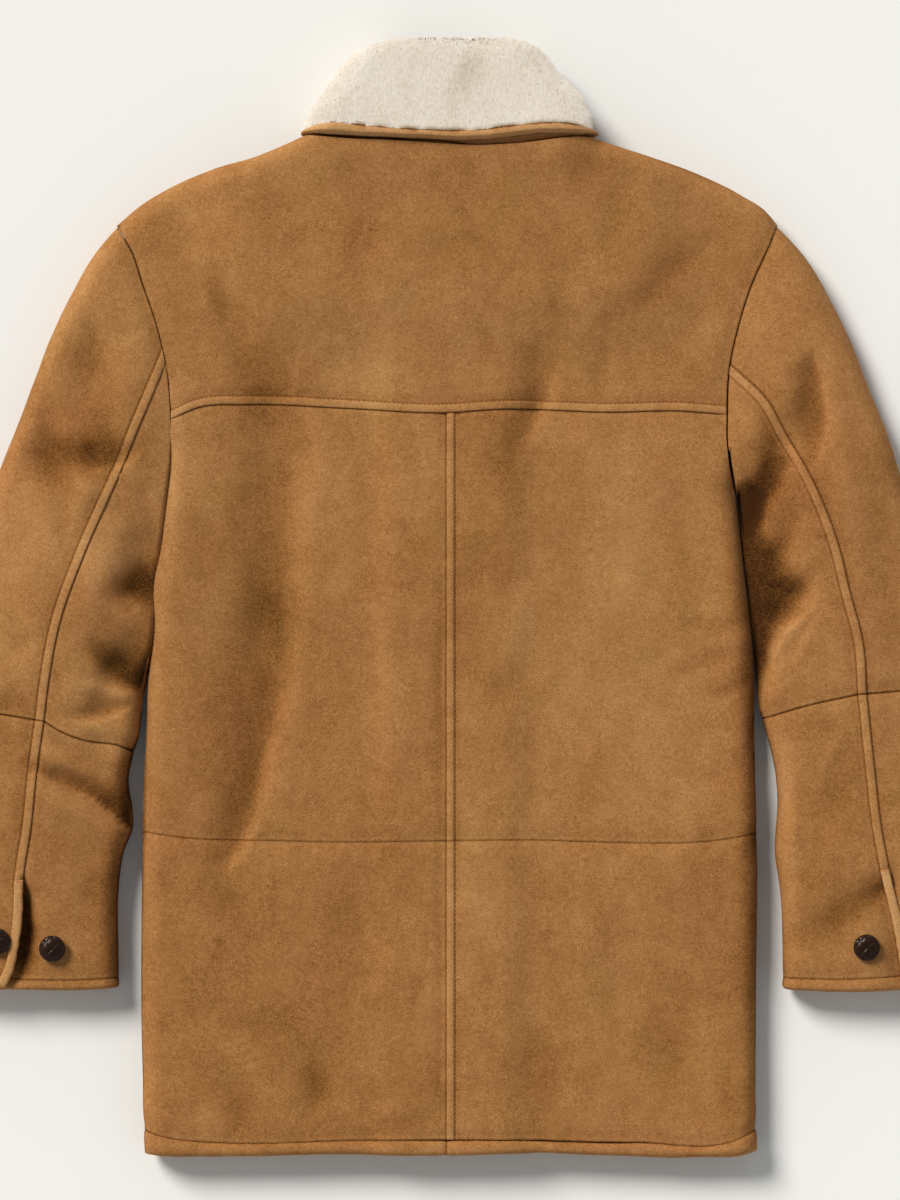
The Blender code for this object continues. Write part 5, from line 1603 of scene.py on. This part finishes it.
# painted shade of the skin between hairs; painted shadow on the skin in the bare gaps, and that band's
# width
SKIN_PAINTED_SHADE, BARE_SKIN_PAINTED_SHADOW, BARE_LINE = -0.06, 0.5, 2.0
# width, tilt and raggedness of the binding's painted shadow line below the fur
RIM_HALF, RIM_TILT, RIM_RAGGED = 1.3, 0.3, ((0.5, 2.2, 1, 53),)
BARE_STRENGTH, BARE_MOST = 1.3, 1.2
BARE_SHARE, BARE_REACH, BARE_TUFTS = 0.85, 5.5, 1.7  # how far bare gaps shorten the hair
TUFT_GAPS = (  # x, half width, strength of the bare gaps at the fur's lower edge, with shorter hair and painted shadow
    (-122, 5, 1.2), (-73, 5, 1), (-56, 8, 0.6), (-33, 8, 1), (-12, 9, 0.8), (5, 9, 1), (22, 6, 0.5),
    (44, 12, 1), (74, 15, 0.8), (108, 18, 1),
)
BINDING_HEIGHTS = (  # x, height of the binding at the back
    (-124, 3.3), (-118, 6), (-110, 8.8), (-100, 10.3), (-90, 10.1), (-75, 9), (-60, 8.5), (-40, 7.2),
    (-20, 7.4), (20, 7.5), (40, 7.9), (80, 7.7), (100, 7.9), (108, 6.4), (115, 4.6), (124, 3.2),
)
NECK_ROLL_EDGE = (  # x, y of the collar's stand where it meets the yoke
    (-112, 374), (-40, 373.6), (-32, 373.4), (4.2, 371.1), (13.1, 369.4), (30.4, 368.7), (39, 369.6),
    (56.3, 370.3), (73.6, 373.2), (90.9, 375.3), (106.4, 376.6), (112, 376.8),
)
# creases of the fur, in the columns of BODY_CREASES: painted shade in troughs, painted light on the ridge
FUR_CREASES = (
    (1.6, -0.17, 2, even(12, 8, (17, 445), (13, 434), (8, 420), (2, 400))),
    (1.2, -0.03, 2, even(8, 8, (-30, 450), (-36, 425), (-34, 400))),
    (1.2, -0.03, 2, even(9, 7, (52, 450), (60, 424), (62, 398))),
    (-1.5, 0.02, 2, even(14, 14, (-70, 440), (-74, 415), (-80, 392))),
)


def collar_stations():
    """Stations around the flattened collar: stretch of it and shares along that stretch."""
    turn = COLLAR_SIDES[0][2] - COLLAR_HALF_HEIGHT
    stretches = (
        ("front_left", turn - COLLAR_END_X, FRONT_STEP),
        ("turn_left", np.pi * COLLAR_HALF_HEIGHT, COLLAR_STEP),
        ("back", 2 * turn, COLLAR_STEP),
        ("turn_right", np.pi * COLLAR_HALF_HEIGHT, COLLAR_STEP),
        ("front_right", turn - COLLAR_END_X, FRONT_STEP),
    )
    stations = []
    for stretch, length, step in stretches:
        shares = np.linspace(0, 1, round(length / step) + 1)
        stations += [(stretch, share) for share in shares[1 if stations else 0 :]]
    return stations


def collar_point(station, inward, y):
    """Points of the collar at a station, depths inward from its outside and heights y in plan."""
    stretch, share = station
    inward, y = np.broadcast_arrays(np.asarray(inward, float), np.asarray(y, float))
    columns = np.array(COLLAR_SIDES)
    left = through(y, columns[:, 0], columns[:, 1]) + COLLAR_HALF_HEIGHT
    right = through(y, columns[:, 0], columns[:, 2]) - COLLAR_HALF_HEIGHT
    radius = COLLAR_HALF_HEIGHT - inward
    angle = np.pi * share
    if stretch == "front_left":
        x, z = -COLLAR_END_X + (left + COLLAR_END_X) * share, -radius
    elif stretch == "turn_left":
        x, z = left - radius * np.sin(angle), -radius * np.cos(angle)
    elif stretch == "back":
        x, z = left + (right - left) * share, radius
    elif stretch == "turn_right":
        x, z = right + radius * np.sin(angle), radius * np.cos(angle)
    else:
        x, z = right + (COLLAR_END_X - right) * share, -radius
    return np.stack((x, y, COLLAR_HALF_HEIGHT + z), axis=-1)


def collar_levels(station):
    """y of the turned-down edge, the neck seam and the fold at a station."""
    low = FRONT_FALL_EDGE[0][1]
    x, _, z = collar_point(station, COLLAR_WALL, low)
    at_back = z >= COLLAR_HALF_HEIGHT
    if at_back:
        fall = float(along(FALL_EDGE, x))
        neck = float(along(SHOULDER_LINE, x)) + SEAM + NECK_EASE
        return fall, neck, ROLL_LINE_Y
    fall = float(along(FRONT_FALL_EDGE, abs(x)))
    neck_x = abs(collar_point(station, COLLAR_WALL + COLLAR_FOLD_GAP, low)[0])
    neck = float(along(FRONT_NECK, min(neck_x, NECK_HALF))) + SEAM + NECK_EASE
    return fall, neck, float(along(FRONT_ROLL_LINE, abs(x)))


def binding_height(station, fall):
    x, _, z = collar_point(station, COLLAR_WALL, fall)
    if z >= COLLAR_HALF_HEIGHT:
        return float(along(BINDING_HEIGHTS, float(collar_point(station, 0, fall)[0])))
    return COLLAR_BAND * (1 - BAND_TAPERED * smooth((abs(x) - BAND_TAPER_FROM) / BAND_TAPER))


def bare(x, upward):
    """How bare the fur's lower edge is: gaps of shorter hair with painted shadow, only at the back."""
    share = np.zeros_like(x)
    for gap_x, half, strength in TUFT_GAPS:
        share = share + BARE_STRENGTH * strength * np.exp(-np.abs((x - gap_x) / half) ** 3)
    return np.clip(share, 0, BARE_MOST) * (upward > 0)


def collar_sections():
    """Grids of the collar's fur and hide sides and of its binding, station by station."""
    angles = np.linspace(0, np.pi, FOLD_ROWS)
    rows = {"fur": [], "hide": [], "band": [], "band_hide": []}
    for station in collar_stations():
        fall, neck, fold = collar_levels(station)
        bend = fold - COLLAR_FOLD
        band_top = fall + binding_height(station, fall)
        drop = np.linspace(band_top + SEAM, bend, DROP_ROWS)[:-1]
        back = np.linspace(bend, neck, BACK_ROWS)[1:]
        for label, radius, first, last in (
            ("fur", COLLAR_FOLD, 0.0, 2 * COLLAR_FOLD),
            ("hide", COLLAR_FOLD_GAP / 2, COLLAR_WALL, COLLAR_WALL + COLLAR_FOLD_GAP),
        ):
            turn = COLLAR_FOLD - radius * np.cos(angles)
            inward = np.concatenate((np.full(len(drop), first), turn, np.full(len(back), last)))
            y = np.concatenate((drop, bend + radius * np.sin(angles), back))
            rows[label].append(collar_point(station, inward, y))
        roll = np.sin(np.linspace(0, np.pi / 2, BINDING_ROWS))
        y = band_top - (band_top - fall) * roll
        lead = BINDING_LEAD * np.clip(1 - roll / LEAD_SHARE, 0, 1) ** 2
        curl = 1 - np.sqrt(1 - (np.clip(roll - CURL_FROM, 0, CURL_RUN) / CURL_RUN) ** 2)
        inward = BINDING_SINK + lead + (COLLAR_WALL - BINDING_INSIDE - BINDING_SINK) * curl
        rows["band"].append(collar_point(station, inward, y))
        rows["band_hide"].append(collar_point(station, np.full(len(y), COLLAR_WALL), y))
    return {label: np.array(grid) for label, grid in rows.items()}


def fur_skin(fur, hide):
    """The fur's base surface, sunk below its reach and uneven, with the painted shade of its creases."""
    normals = grid_normals(fur, hide)
    x, y = fur[..., 0], fur[..., 1]
    around, down = reach(fur, 0), reach(fur, 1)
    height = noises(around, down, FUR_LOCKS, noises(x, y, FUR_UNEVEN, -FUR_SINK))
    height = height + bells(down, FUR_ROUND)
    creases, shade = crease_relief(FUR_CREASES, x, y)
    upward = tilt(normals, *RELIEF_FACING)
    height = height + creases * upward
    return fur + normals * height[..., None], shade * upward, normals


HAIR_BEND, HAIR_BELLY, HAIR_TAPER = 0.55, 0.10, 0.7  # place, outward bow and width of its middle
HAIR_FACES = ((0, 1, 3), (0, 3, 2), (2, 3, 4))
HAIR_FACING, HAIR_TURN, HAIR_UP = (1, 1, 0.5), 0.35, 0.8  # way that its flat side faces
LEAST_Z = 0.1
SOFT_TILT = (0.3, 0.3, 0.0)


def blades(name, roots, tips, facing, shade, seed):
    """Tapered hairs from roots to tips as joined strips, lit like the surface they stand on."""
    rng = np.random.default_rng(seed)
    run = tips - roots
    outward = facing * HAIR_FACING + HAIR_TURN * rng.normal(size=run.shape)
    outward[:, 2] = np.abs(outward[:, 2]) + HAIR_UP
    across = np.cross(run, outward)
    across *= (HAIR_WIDTH / 2 / np.linalg.norm(across, axis=1))[:, None]
    across *= np.sign(np.sum(np.cross(across, run) * outward, axis=1))[:, None]
    bend = roots + HAIR_BEND * run + HAIR_BELLY * np.linalg.norm(run, axis=1)[:, None] * facing
    middle = (bend - HAIR_TAPER * across, bend + HAIR_TAPER * across)
    points = np.stack((roots - across, roots + across, *middle, tips), axis=1)
    points[..., 2] = np.maximum(points[..., 2], LEAST_Z)
    count, corners = points.shape[:2]
    faces = (np.arange(count)[:, None, None] * corners + np.array(HAIR_FACES)).reshape(-1, 3)
    tones = {"shade": np.repeat(shade, corners)}
    made = mesh_object(name, points.reshape(-1, 3), faces, (FUR,), None, tones)
    soft_normals(made, np.repeat(facing, corners, axis=0))
    return made


def soft_normals(piece, facing):
    """Shading normals of fur: light spreads in it, so they turn less than its surface."""
    turned = facing * SOFT_TILT + (0, 0, 1)
    piece.data.normals_split_custom_set_from_vertices(turned.tolist())


def grid_samples(points, rng, count, weights=None):
    """Random cells of a grid, weighted by their area, and a place in each."""
    down = points[1:, :-1] - points[:-1, :-1]
    across = points[:-1, 1:] - points[:-1, :-1]
    area = np.linalg.norm(np.cross(down, across), axis=-1)
    if weights is not None:
        area = area * weights[:-1, :-1]
    picks = rng.choice(area.size, count, p=(area / area.sum()).ravel())
    i, j = np.unravel_index(picks, area.shape)
    u, v = rng.random(count), rng.random(count)
    return i, j, u, v


def read_grid(grid, i, j, u, v):
    if grid.ndim == 3:
        u, v = u[:, None], v[:, None]
    low = grid[i, j] * (1 - v) + grid[i, j + 1] * v
    high = grid[i + 1, j] * (1 - v) + grid[i + 1, j + 1] * v
    return low * (1 - u) + high * u


def grow_pile(skin, normals, shade, rng):
    """Dense pile over the collar's outer skin."""
    section = np.arange(skin.shape[1])
    outside = (section < DROP_ROWS + FOLD_ROWS * PILE_END).astype(float)
    above = normals[..., 2] > BELOW_TILT
    weights = np.broadcast_to(outside, skin.shape[:2]) * (PILE_BELOW + (1 - PILE_BELOW) * above)
    places = grid_samples(skin, rng, PILE_COUNT, weights)
    roots, upright_way = read_grid(skin, *places), read_grid(normals, *places)
    i, j = places[:2]
    fall = unit(skin[i, j] - skin[i, j + 1])
    x, y = roots[:, 0], roots[:, 1]
    sway = np.stack((*(noises(x, y, (row,)) for row in PILE_SWAYS), 0 * x), axis=1)
    way = upright_way + PILE_FALL * fall + PILE_SWAY * sway
    way = unit(way + PILE_SCATTER * rng.normal(size=roots.shape))
    length = PILE_LENGTH * noises(x, y, PILE_LENGTHS, PILE_LEAST) * rng.uniform(*PILE_RANGE, len(x))
    # the hairs take the skin's painted crease shade
    tone = noises(x, y, PILE_TONES, read_grid(shade, *places) + rng.normal(0, PILE_SPECKS, len(x)))
    tone = tone + noises(x, y, RIGHT_TONES) * smooth((x - RIGHT_FROM[0]) / RIGHT_FROM[1])
    nearness = bell(read_grid(reach(skin, 1), *places) / BARE_REACH)
    length = length * (1 - BARE_SHARE * nearness * bare(x, upright_way[:, 2]))
    facing = unit(upright_way + FACING_SWAY * sway + FACING_SCATTER * rng.normal(size=roots.shape))
    tips = roots + way * length[:, None]
    return blades("collar_pile", roots - upright_way, tips, facing, tone, PILE_SEED)


def grow_tufts(skin, normals, rng):
    """Longer tufts from the fur's lower edge over its binding."""
    near_edge = np.broadcast_to((np.arange(skin.shape[1]) < 2).astype(float), skin.shape[:2])
    places = grid_samples(skin, rng, TUFT_COUNT, near_edge)
    i, u = places[0], places[2]
    upright_way = read_grid(normals, *places)
    roots = read_grid(skin, *places) - upright_way * rng.uniform(0, TUFT_ROOT, len(i))[:, None]
    fall = unit(skin[i, 0] - skin[i, 3])
    around = reach(skin, 0)[:, 0]
    place = np.interp(i + u, np.arange(len(around)), around)
    clump = noises(place, 0 * place, TUFT_CLUMPS, CLUMP_MEAN)
    clump = clump - BARE_TUFTS * bare(roots[:, 0], upright_way[:, 2])
    side = np.cross(upright_way, fall) * noises(place, 0 * place, TUFT_SIDES)[:, None]
    way = unit(TUFT_RISE * upright_way + fall + side + TUFT_SCATTER * rng.normal(size=roots.shape))
    length = TUFT_SHORT + TUFT_LONG * np.clip(clump, 0, CLUMP_MOST) * rng.uniform(0.5, 1.0, len(i))
    tone = rng.normal(0.0, TUFT_SPECKS, len(i))
    tips = roots + way * length[:, None]
    return blades("collar_tufts", roots, tips, upright_way, tone, TUFT_SEED)


def build_collar():
    grids = collar_sections()
    skin, shade, normals = fur_skin(grids["fur"], grids["hide"])
    # painted shadow on the skin at the bare gaps of the fur's lower edge
    low_edge = bell(reach(skin, 1) / BARE_LINE) * bare(skin[..., 0], normals[..., 2])
    tone = shade + SKIN_PAINTED_SHADE - BARE_SKIN_PAINTED_SHADOW * low_edge
    collar = shell("collar_cloth", skin, grids["hide"], tone, (FUR, SUEDE), turned=0)
    hide_normals = np.broadcast_to((0.0, 0.0, 0.0), normals.shape)
    soft_normals(collar, np.concatenate((normals, hide_normals)).reshape(-1, 3))
    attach(collar, ROOT)
    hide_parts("collar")
    band, band_hide = grids["band"], grids["band_hide"]
    x, y = band[..., 0], band[..., 1]
    band_normals = grid_normals(band, band_hide)
    uneven = noises(x, y, BINDING_UNEVEN)
    # painted shadow line along the binding's top, darker and wider in the bare gaps, and painted shade at
    # its foot
    gaps = bare(x, band_normals[..., 2] + RIM_TILT)
    rim = reach(band, 1) / (RIM_HALF + RIM_HALF * gaps * noises(x, 0 * y, RIM_RAGGED, 1))
    tone = BINDING_TONE_AND_PAINTED_LIGHT - (FUR_PAINTED_SHADOW_LINE + BARE_GAP_PAINTED_SHADOW_LINE * gaps) * bell(rim)
    tone = tone + bells(reach(band, 1, reverse=True), (FOOT_PAINTED_SHADE_LINE,))
    band = band + band_normals * uneven[..., None]
    binding = shell("collar_binding_cloth", band, band_hide, tone, (SUEDE, SUEDE))
    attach(binding, ROOT)
    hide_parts("collar_binding")
    rng = np.random.default_rng(FUR_SEED)
    pile = grow_pile(skin, normals, shade, rng)
    tufts = grow_tufts(skin, normals, rng)
    roll = build_neck_roll()
    for piece in (pile, tufts):
        piece.visible_shadow = False  # light passes through hair
        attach(piece, ROOT)


NECK_ROLL_BASE, NECK_ROLL_RISE = 41.9, 3.0
NECK_ROLL_STEP, NECK_ROLL_ROWS, NECK_ROLL_WALL, NECK_ROLL_LEAST = 1.5, 24, 1.2, 0.6
NECK_ROLL_UNDER = (2.6, 0.8)  # how far it reaches under the yoke and under the binding
NECK_ROLL_SHOWS = ((-42, 12), (114, -8))  # x and run of its two fades
NECK_ROLL_DIP, DIP_PLACE, DIP_RUN = 5.0, 0.4, 3.0  # beneath the yoke's edge
# painted light on the sliver where it shows; painted shade in its seam line; painted shadow under the
# binding at its top
ROLL_PAINTED_LIGHT, ROLL_PAINTED_SHADE, ROLL_TOP_PAINTED_SHADOW = 0.12, -0.36, (-0.2, 0, 0.9)
ROLL_LINE_HALF, ROLL_LINE_DIP = 0.5, 0.5


def build_neck_roll():
    """Sliver of the collar's stand that shows between its binding and the yoke, painted lighter where it
    shows and painted dark where only the binding's shadow lies.
    """
    x = np.arange(NECK_ROLL_EDGE[0][0], NECK_ROLL_EDGE[-1][0], NECK_ROLL_STEP)
    neck = along(SHOULDER_LINE, x)
    low, high = neck - NECK_ROLL_UNDER[0], along(FALL_EDGE, x) + NECK_ROLL_UNDER[1]
    y = low + (high - low) * np.linspace(0, 1, NECK_ROLL_ROWS)[:, None]
    x = np.broadcast_to(x, y.shape)
    past = y - along(NECK_ROLL_EDGE, x)
    width = np.maximum(high - along(NECK_ROLL_EDGE, x), NECK_ROLL_LEAST)
    fade = np.prod([smooth((x - from_x) / run) for from_x, run in NECK_ROLL_SHOWS], axis=0)
    line = bell(past / ROLL_LINE_HALF)
    z = NECK_ROLL_BASE + fade * (NECK_ROLL_RISE * quarter(past / width) - ROLL_LINE_DIP * line)
    z = z - NECK_ROLL_DIP * smooth((neck + DIP_PLACE - y) / DIP_RUN)
    shade = ROLL_PAINTED_LIGHT * (past > 0) + ROLL_PAINTED_SHADE * line + bells(high - y, (ROLL_TOP_PAINTED_SHADOW,))
    # where the sliver doesn't show it is painted dark all over, as the shadow below the binding
    shade = shade * fade + ROLL_PAINTED_SHADE * (1 - fade)
    top = np.stack((x, y, z), axis=-1)
    piece = shell("collar_stand_sliver", top, top - (0, 0, NECK_ROLL_WALL), shade, (SUEDE, SUEDE))
    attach(piece, ROOT)
    return piece


# ------------------------------------------------------------------ buttons

BUTTON_RADIUS, BUTTON_HEIGHT = 10.8, 7.3
BUTTON_SIDES, DOME_RINGS = 96, 33
DOME_WRAP, DOME_EDGE = 1.08, 0.16  # past a quarter turn, and height of the rim
UNDER_RINGS = ((0.93, 0.10), (0.82, 0.03), (0.60, 0.0))  # shares of the radius and of the dome
SHANK_RADIUS, SHANK_HEIGHT = 3.0, 1.7
SHANK_FOOT, SHANK_TAPER = 0.4, 0.8
TOP_DIP = 0.4  # of the dome's top, where strips cross
SUNK_SHANK = 0.3  # share of its shank that shows on a front button
WEAVE_PITCH, WEAVE_RELIEF = 7.4, 0.9
WEAVE_TURN = np.radians(45)
WEAVE_FADE = (0.9, 0.1)  # share of the dome at which the weave ends
STRAND_POWER, ARCH_POWER = 5, 0.6


def woven(u, v):
    """Height of a basket weave with strips one unit wide, from 0 in its grooves to 1."""
    fu, fv = u - np.floor(u), v - np.floor(v)
    lengthwise = (np.floor(u) + np.floor(v)) % 2 < 1
    along_strip = np.where(lengthwise, fu, fv)
    over_strip = np.where(lengthwise, fv, fu)
    edge = 1 - np.abs(2 * over_strip - 1) ** STRAND_POWER
    arch = 0.5 + 0.5 * np.sin(np.pi * along_strip) ** ARCH_POWER
    return edge * arch


def button_mesh(shank):
    """Domed button with its seat at z = 0, facing up."""
    angles = np.linspace(0, 2 * np.pi, BUTTON_SIDES, endpoint=False)
    dome = BUTTON_HEIGHT - shank
    slope = np.linspace(0, 1, DOME_RINGS + 1)[1:]
    radius = BUTTON_RADIUS * np.sin(slope * np.pi / 2 * DOME_WRAP)
    height = shank + dome * (DOME_EDGE + (1 - DOME_EDGE) * np.cos(slope * np.pi / 2))
    under = np.array(UNDER_RINGS) * (BUTTON_RADIUS, dome)
    foot = ((SHANK_RADIUS, SHANK_FOOT), (SHANK_RADIUS * SHANK_TAPER, 0.0))
    stem = np.array(((SHANK_RADIUS, shank), *foot))
    rings_r = np.concatenate((radius, under[:, 0], stem[:, 0]))
    rings_z = np.concatenate((height, shank + under[:, 1], stem[:, 1]))
    x = rings_r[:, None] * np.cos(angles)
    y = rings_r[:, None] * np.sin(angles)
    z = np.broadcast_to(rings_z[:, None], x.shape).copy()
    ca, sa = np.cos(WEAVE_TURN), np.sin(WEAVE_TURN)
    weave = woven((x * ca + y * sa) / WEAVE_PITCH, (y * ca - x * sa) / WEAVE_PITCH)
    on_dome = np.zeros(len(rings_r))
    on_dome[: len(radius)] = 1 - smooth((slope - WEAVE_FADE[0]) / WEAVE_FADE[1])
    z += on_dome[:, None] * WEAVE_RELIEF * (weave - 1)
    rings = np.stack((x, y, z), axis=-1)
    count = len(angles)
    points = np.concatenate((rings.reshape(-1, 3), ((0, 0, shank + dome - TOP_DIP), (0, 0, 0))))
    index = np.arange(len(rings_r) * count).reshape(-1, count)
    wrapped = np.concatenate((index, index[:, :1]), axis=1)
    a, b, c, d = wrapped[:-1, :-1], wrapped[1:, :-1], wrapped[1:, 1:], wrapped[:-1, 1:]
    faces = np.concatenate((np.stack((a, b, c), -1).reshape(-1, 3), np.stack((a, c, d), -1).reshape(-1, 3)))
    top = np.stack((np.full(count, len(points) - 2), wrapped[0, :-1], wrapped[0, 1:]), -1)
    bottom = np.stack((np.full(count, len(points) - 1), wrapped[-1, 1:], wrapped[-1, :-1]), -1)
    return points, np.concatenate((faces, top, bottom))


def place_button(node, low, high, down):
    """Fine button in the place of a node, from the node's own box."""
    shank = SHANK_HEIGHT * (SUNK_SHANK if down else 1.0)
    points, faces = button_mesh(shank)
    if down:
        points = points * (1, -1, -1)
    seat = high[2] if down else low[2]
    points = points + ((low[0] + high[0]) / 2, (low[1] + high[1]) / 2, seat)
    piece = mesh_object(f"{node}_woven", points, faces, (BUTTON_LEATHER,))
    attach(piece, ROOT)
    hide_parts(node)


def build_buttons():
    names = [f"front_button_{number}" for number in range(1, len(FRONT_BUTTON_YS) + 1)]
    names += [f"cuff_button_{side}_{label}" for side in SLEEVES for label in ("spare", "flap")]
    for name in names:
        low, high = (np.array(corner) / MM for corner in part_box(name))
        place_button(name, low, high, name.startswith("front"))


# ------------------------------------------------------------------ stage

FRAME_HEIGHT = 984.0  # of the picture, at the height of the coat's upper face
VIEW_Y = -2.46
FACE_Z = 22.0
CAMERA_Z = 4500.0
SENSOR, FAR_CLIP = 24.0, 100.0
FLOOR_SIZE = 12.0
LAMP_WAY, LAMP_Z = (-0.9, 0.95, 1.0), 4.0
LAMP_ANGLE, LAMP_POWER, LAMP_COLOUR = np.radians(23), 3.8, (1.0, 0.98, 0.945)
SKY_ZENITH, SKY_HORIZON, SKY_COLOUR = 0.14, 0.94, (0.93, 0.97, 1.0, 1.0)


def build_stage():
    bpy.ops.mesh.primitive_plane_add(size=FLOOR_SIZE)
    floor = bpy.context.object
    floor.name = "floor"
    floor.data.materials.append(make_floor())

    world = bpy.data.worlds.new("studio")
    world.use_nodes = True
    tree = world.node_tree
    way = tree.nodes.new("ShaderNodeTexCoord")
    split = tree.nodes.new("ShaderNodeSeparateXYZ")
    gradient = tree.nodes.new("ShaderNodeMapRange")
    gradient.inputs["To Min"].default_value = SKY_HORIZON
    gradient.inputs["To Max"].default_value = SKY_ZENITH
    background = tree.nodes["Background"]
    tree.links.new(way.outputs["Generated"], split.inputs["Vector"])
    tree.links.new(split.outputs["Z"], gradient.inputs["Value"])
    tree.links.new(gradient.outputs["Result"], background.inputs["Strength"])
    background.inputs["Color"].default_value = SKY_COLOUR
    bpy.context.scene.world = world

    light = bpy.data.lights.new("window", "SUN")
    light.angle, light.energy, light.color = LAMP_ANGLE, LAMP_POWER, LAMP_COLOUR
    lamp = bpy.data.objects.new("window", light)
    bpy.context.scene.collection.objects.link(lamp)
    lamp.location = Vector(LAMP_WAY) * LAMP_Z
    lamp.rotation_euler = (-lamp.location).to_track_quat("-Z", "Y").to_euler()

    camera = bpy.data.objects.new("camera", bpy.data.cameras.new("camera"))
    bpy.context.scene.collection.objects.link(camera)
    camera.location = (0.0, VIEW_Y * MM, CAMERA_Z * MM)
    camera.data.sensor_fit = "VERTICAL"
    camera.data.sensor_height = SENSOR
    camera.data.lens = SENSOR * (CAMERA_Z - FACE_Z) / FRAME_HEIGHT
    camera.data.clip_end = FAR_CLIP
    bpy.context.scene.camera = camera
    bpy.context.scene.view_settings.view_transform = "Standard"


# ------------------------------------------------------------------ make everything

build_back()
build_fronts()
for side_name in SLEEVES:
    build_sleeve(side_name)
build_collar()
build_buttons()
build_stage()

BOUND_SHEETS = {  # start of a binding's name, and the sheet that it belongs to on each side
    "cuff_band": "sleeve_{}_under_lower",
    "hem_band_back": "back_lower_{}",
    "hem_band_front": "front_{}",
}
for node, (piece, outer) in PIECES.items():
    for start, sheet in BOUND_SHEETS.items():
        if node.startswith(start):
            WITH_PIECES.setdefault(sheet.format(node.rsplit("_", 1)[1]), []).append(piece)
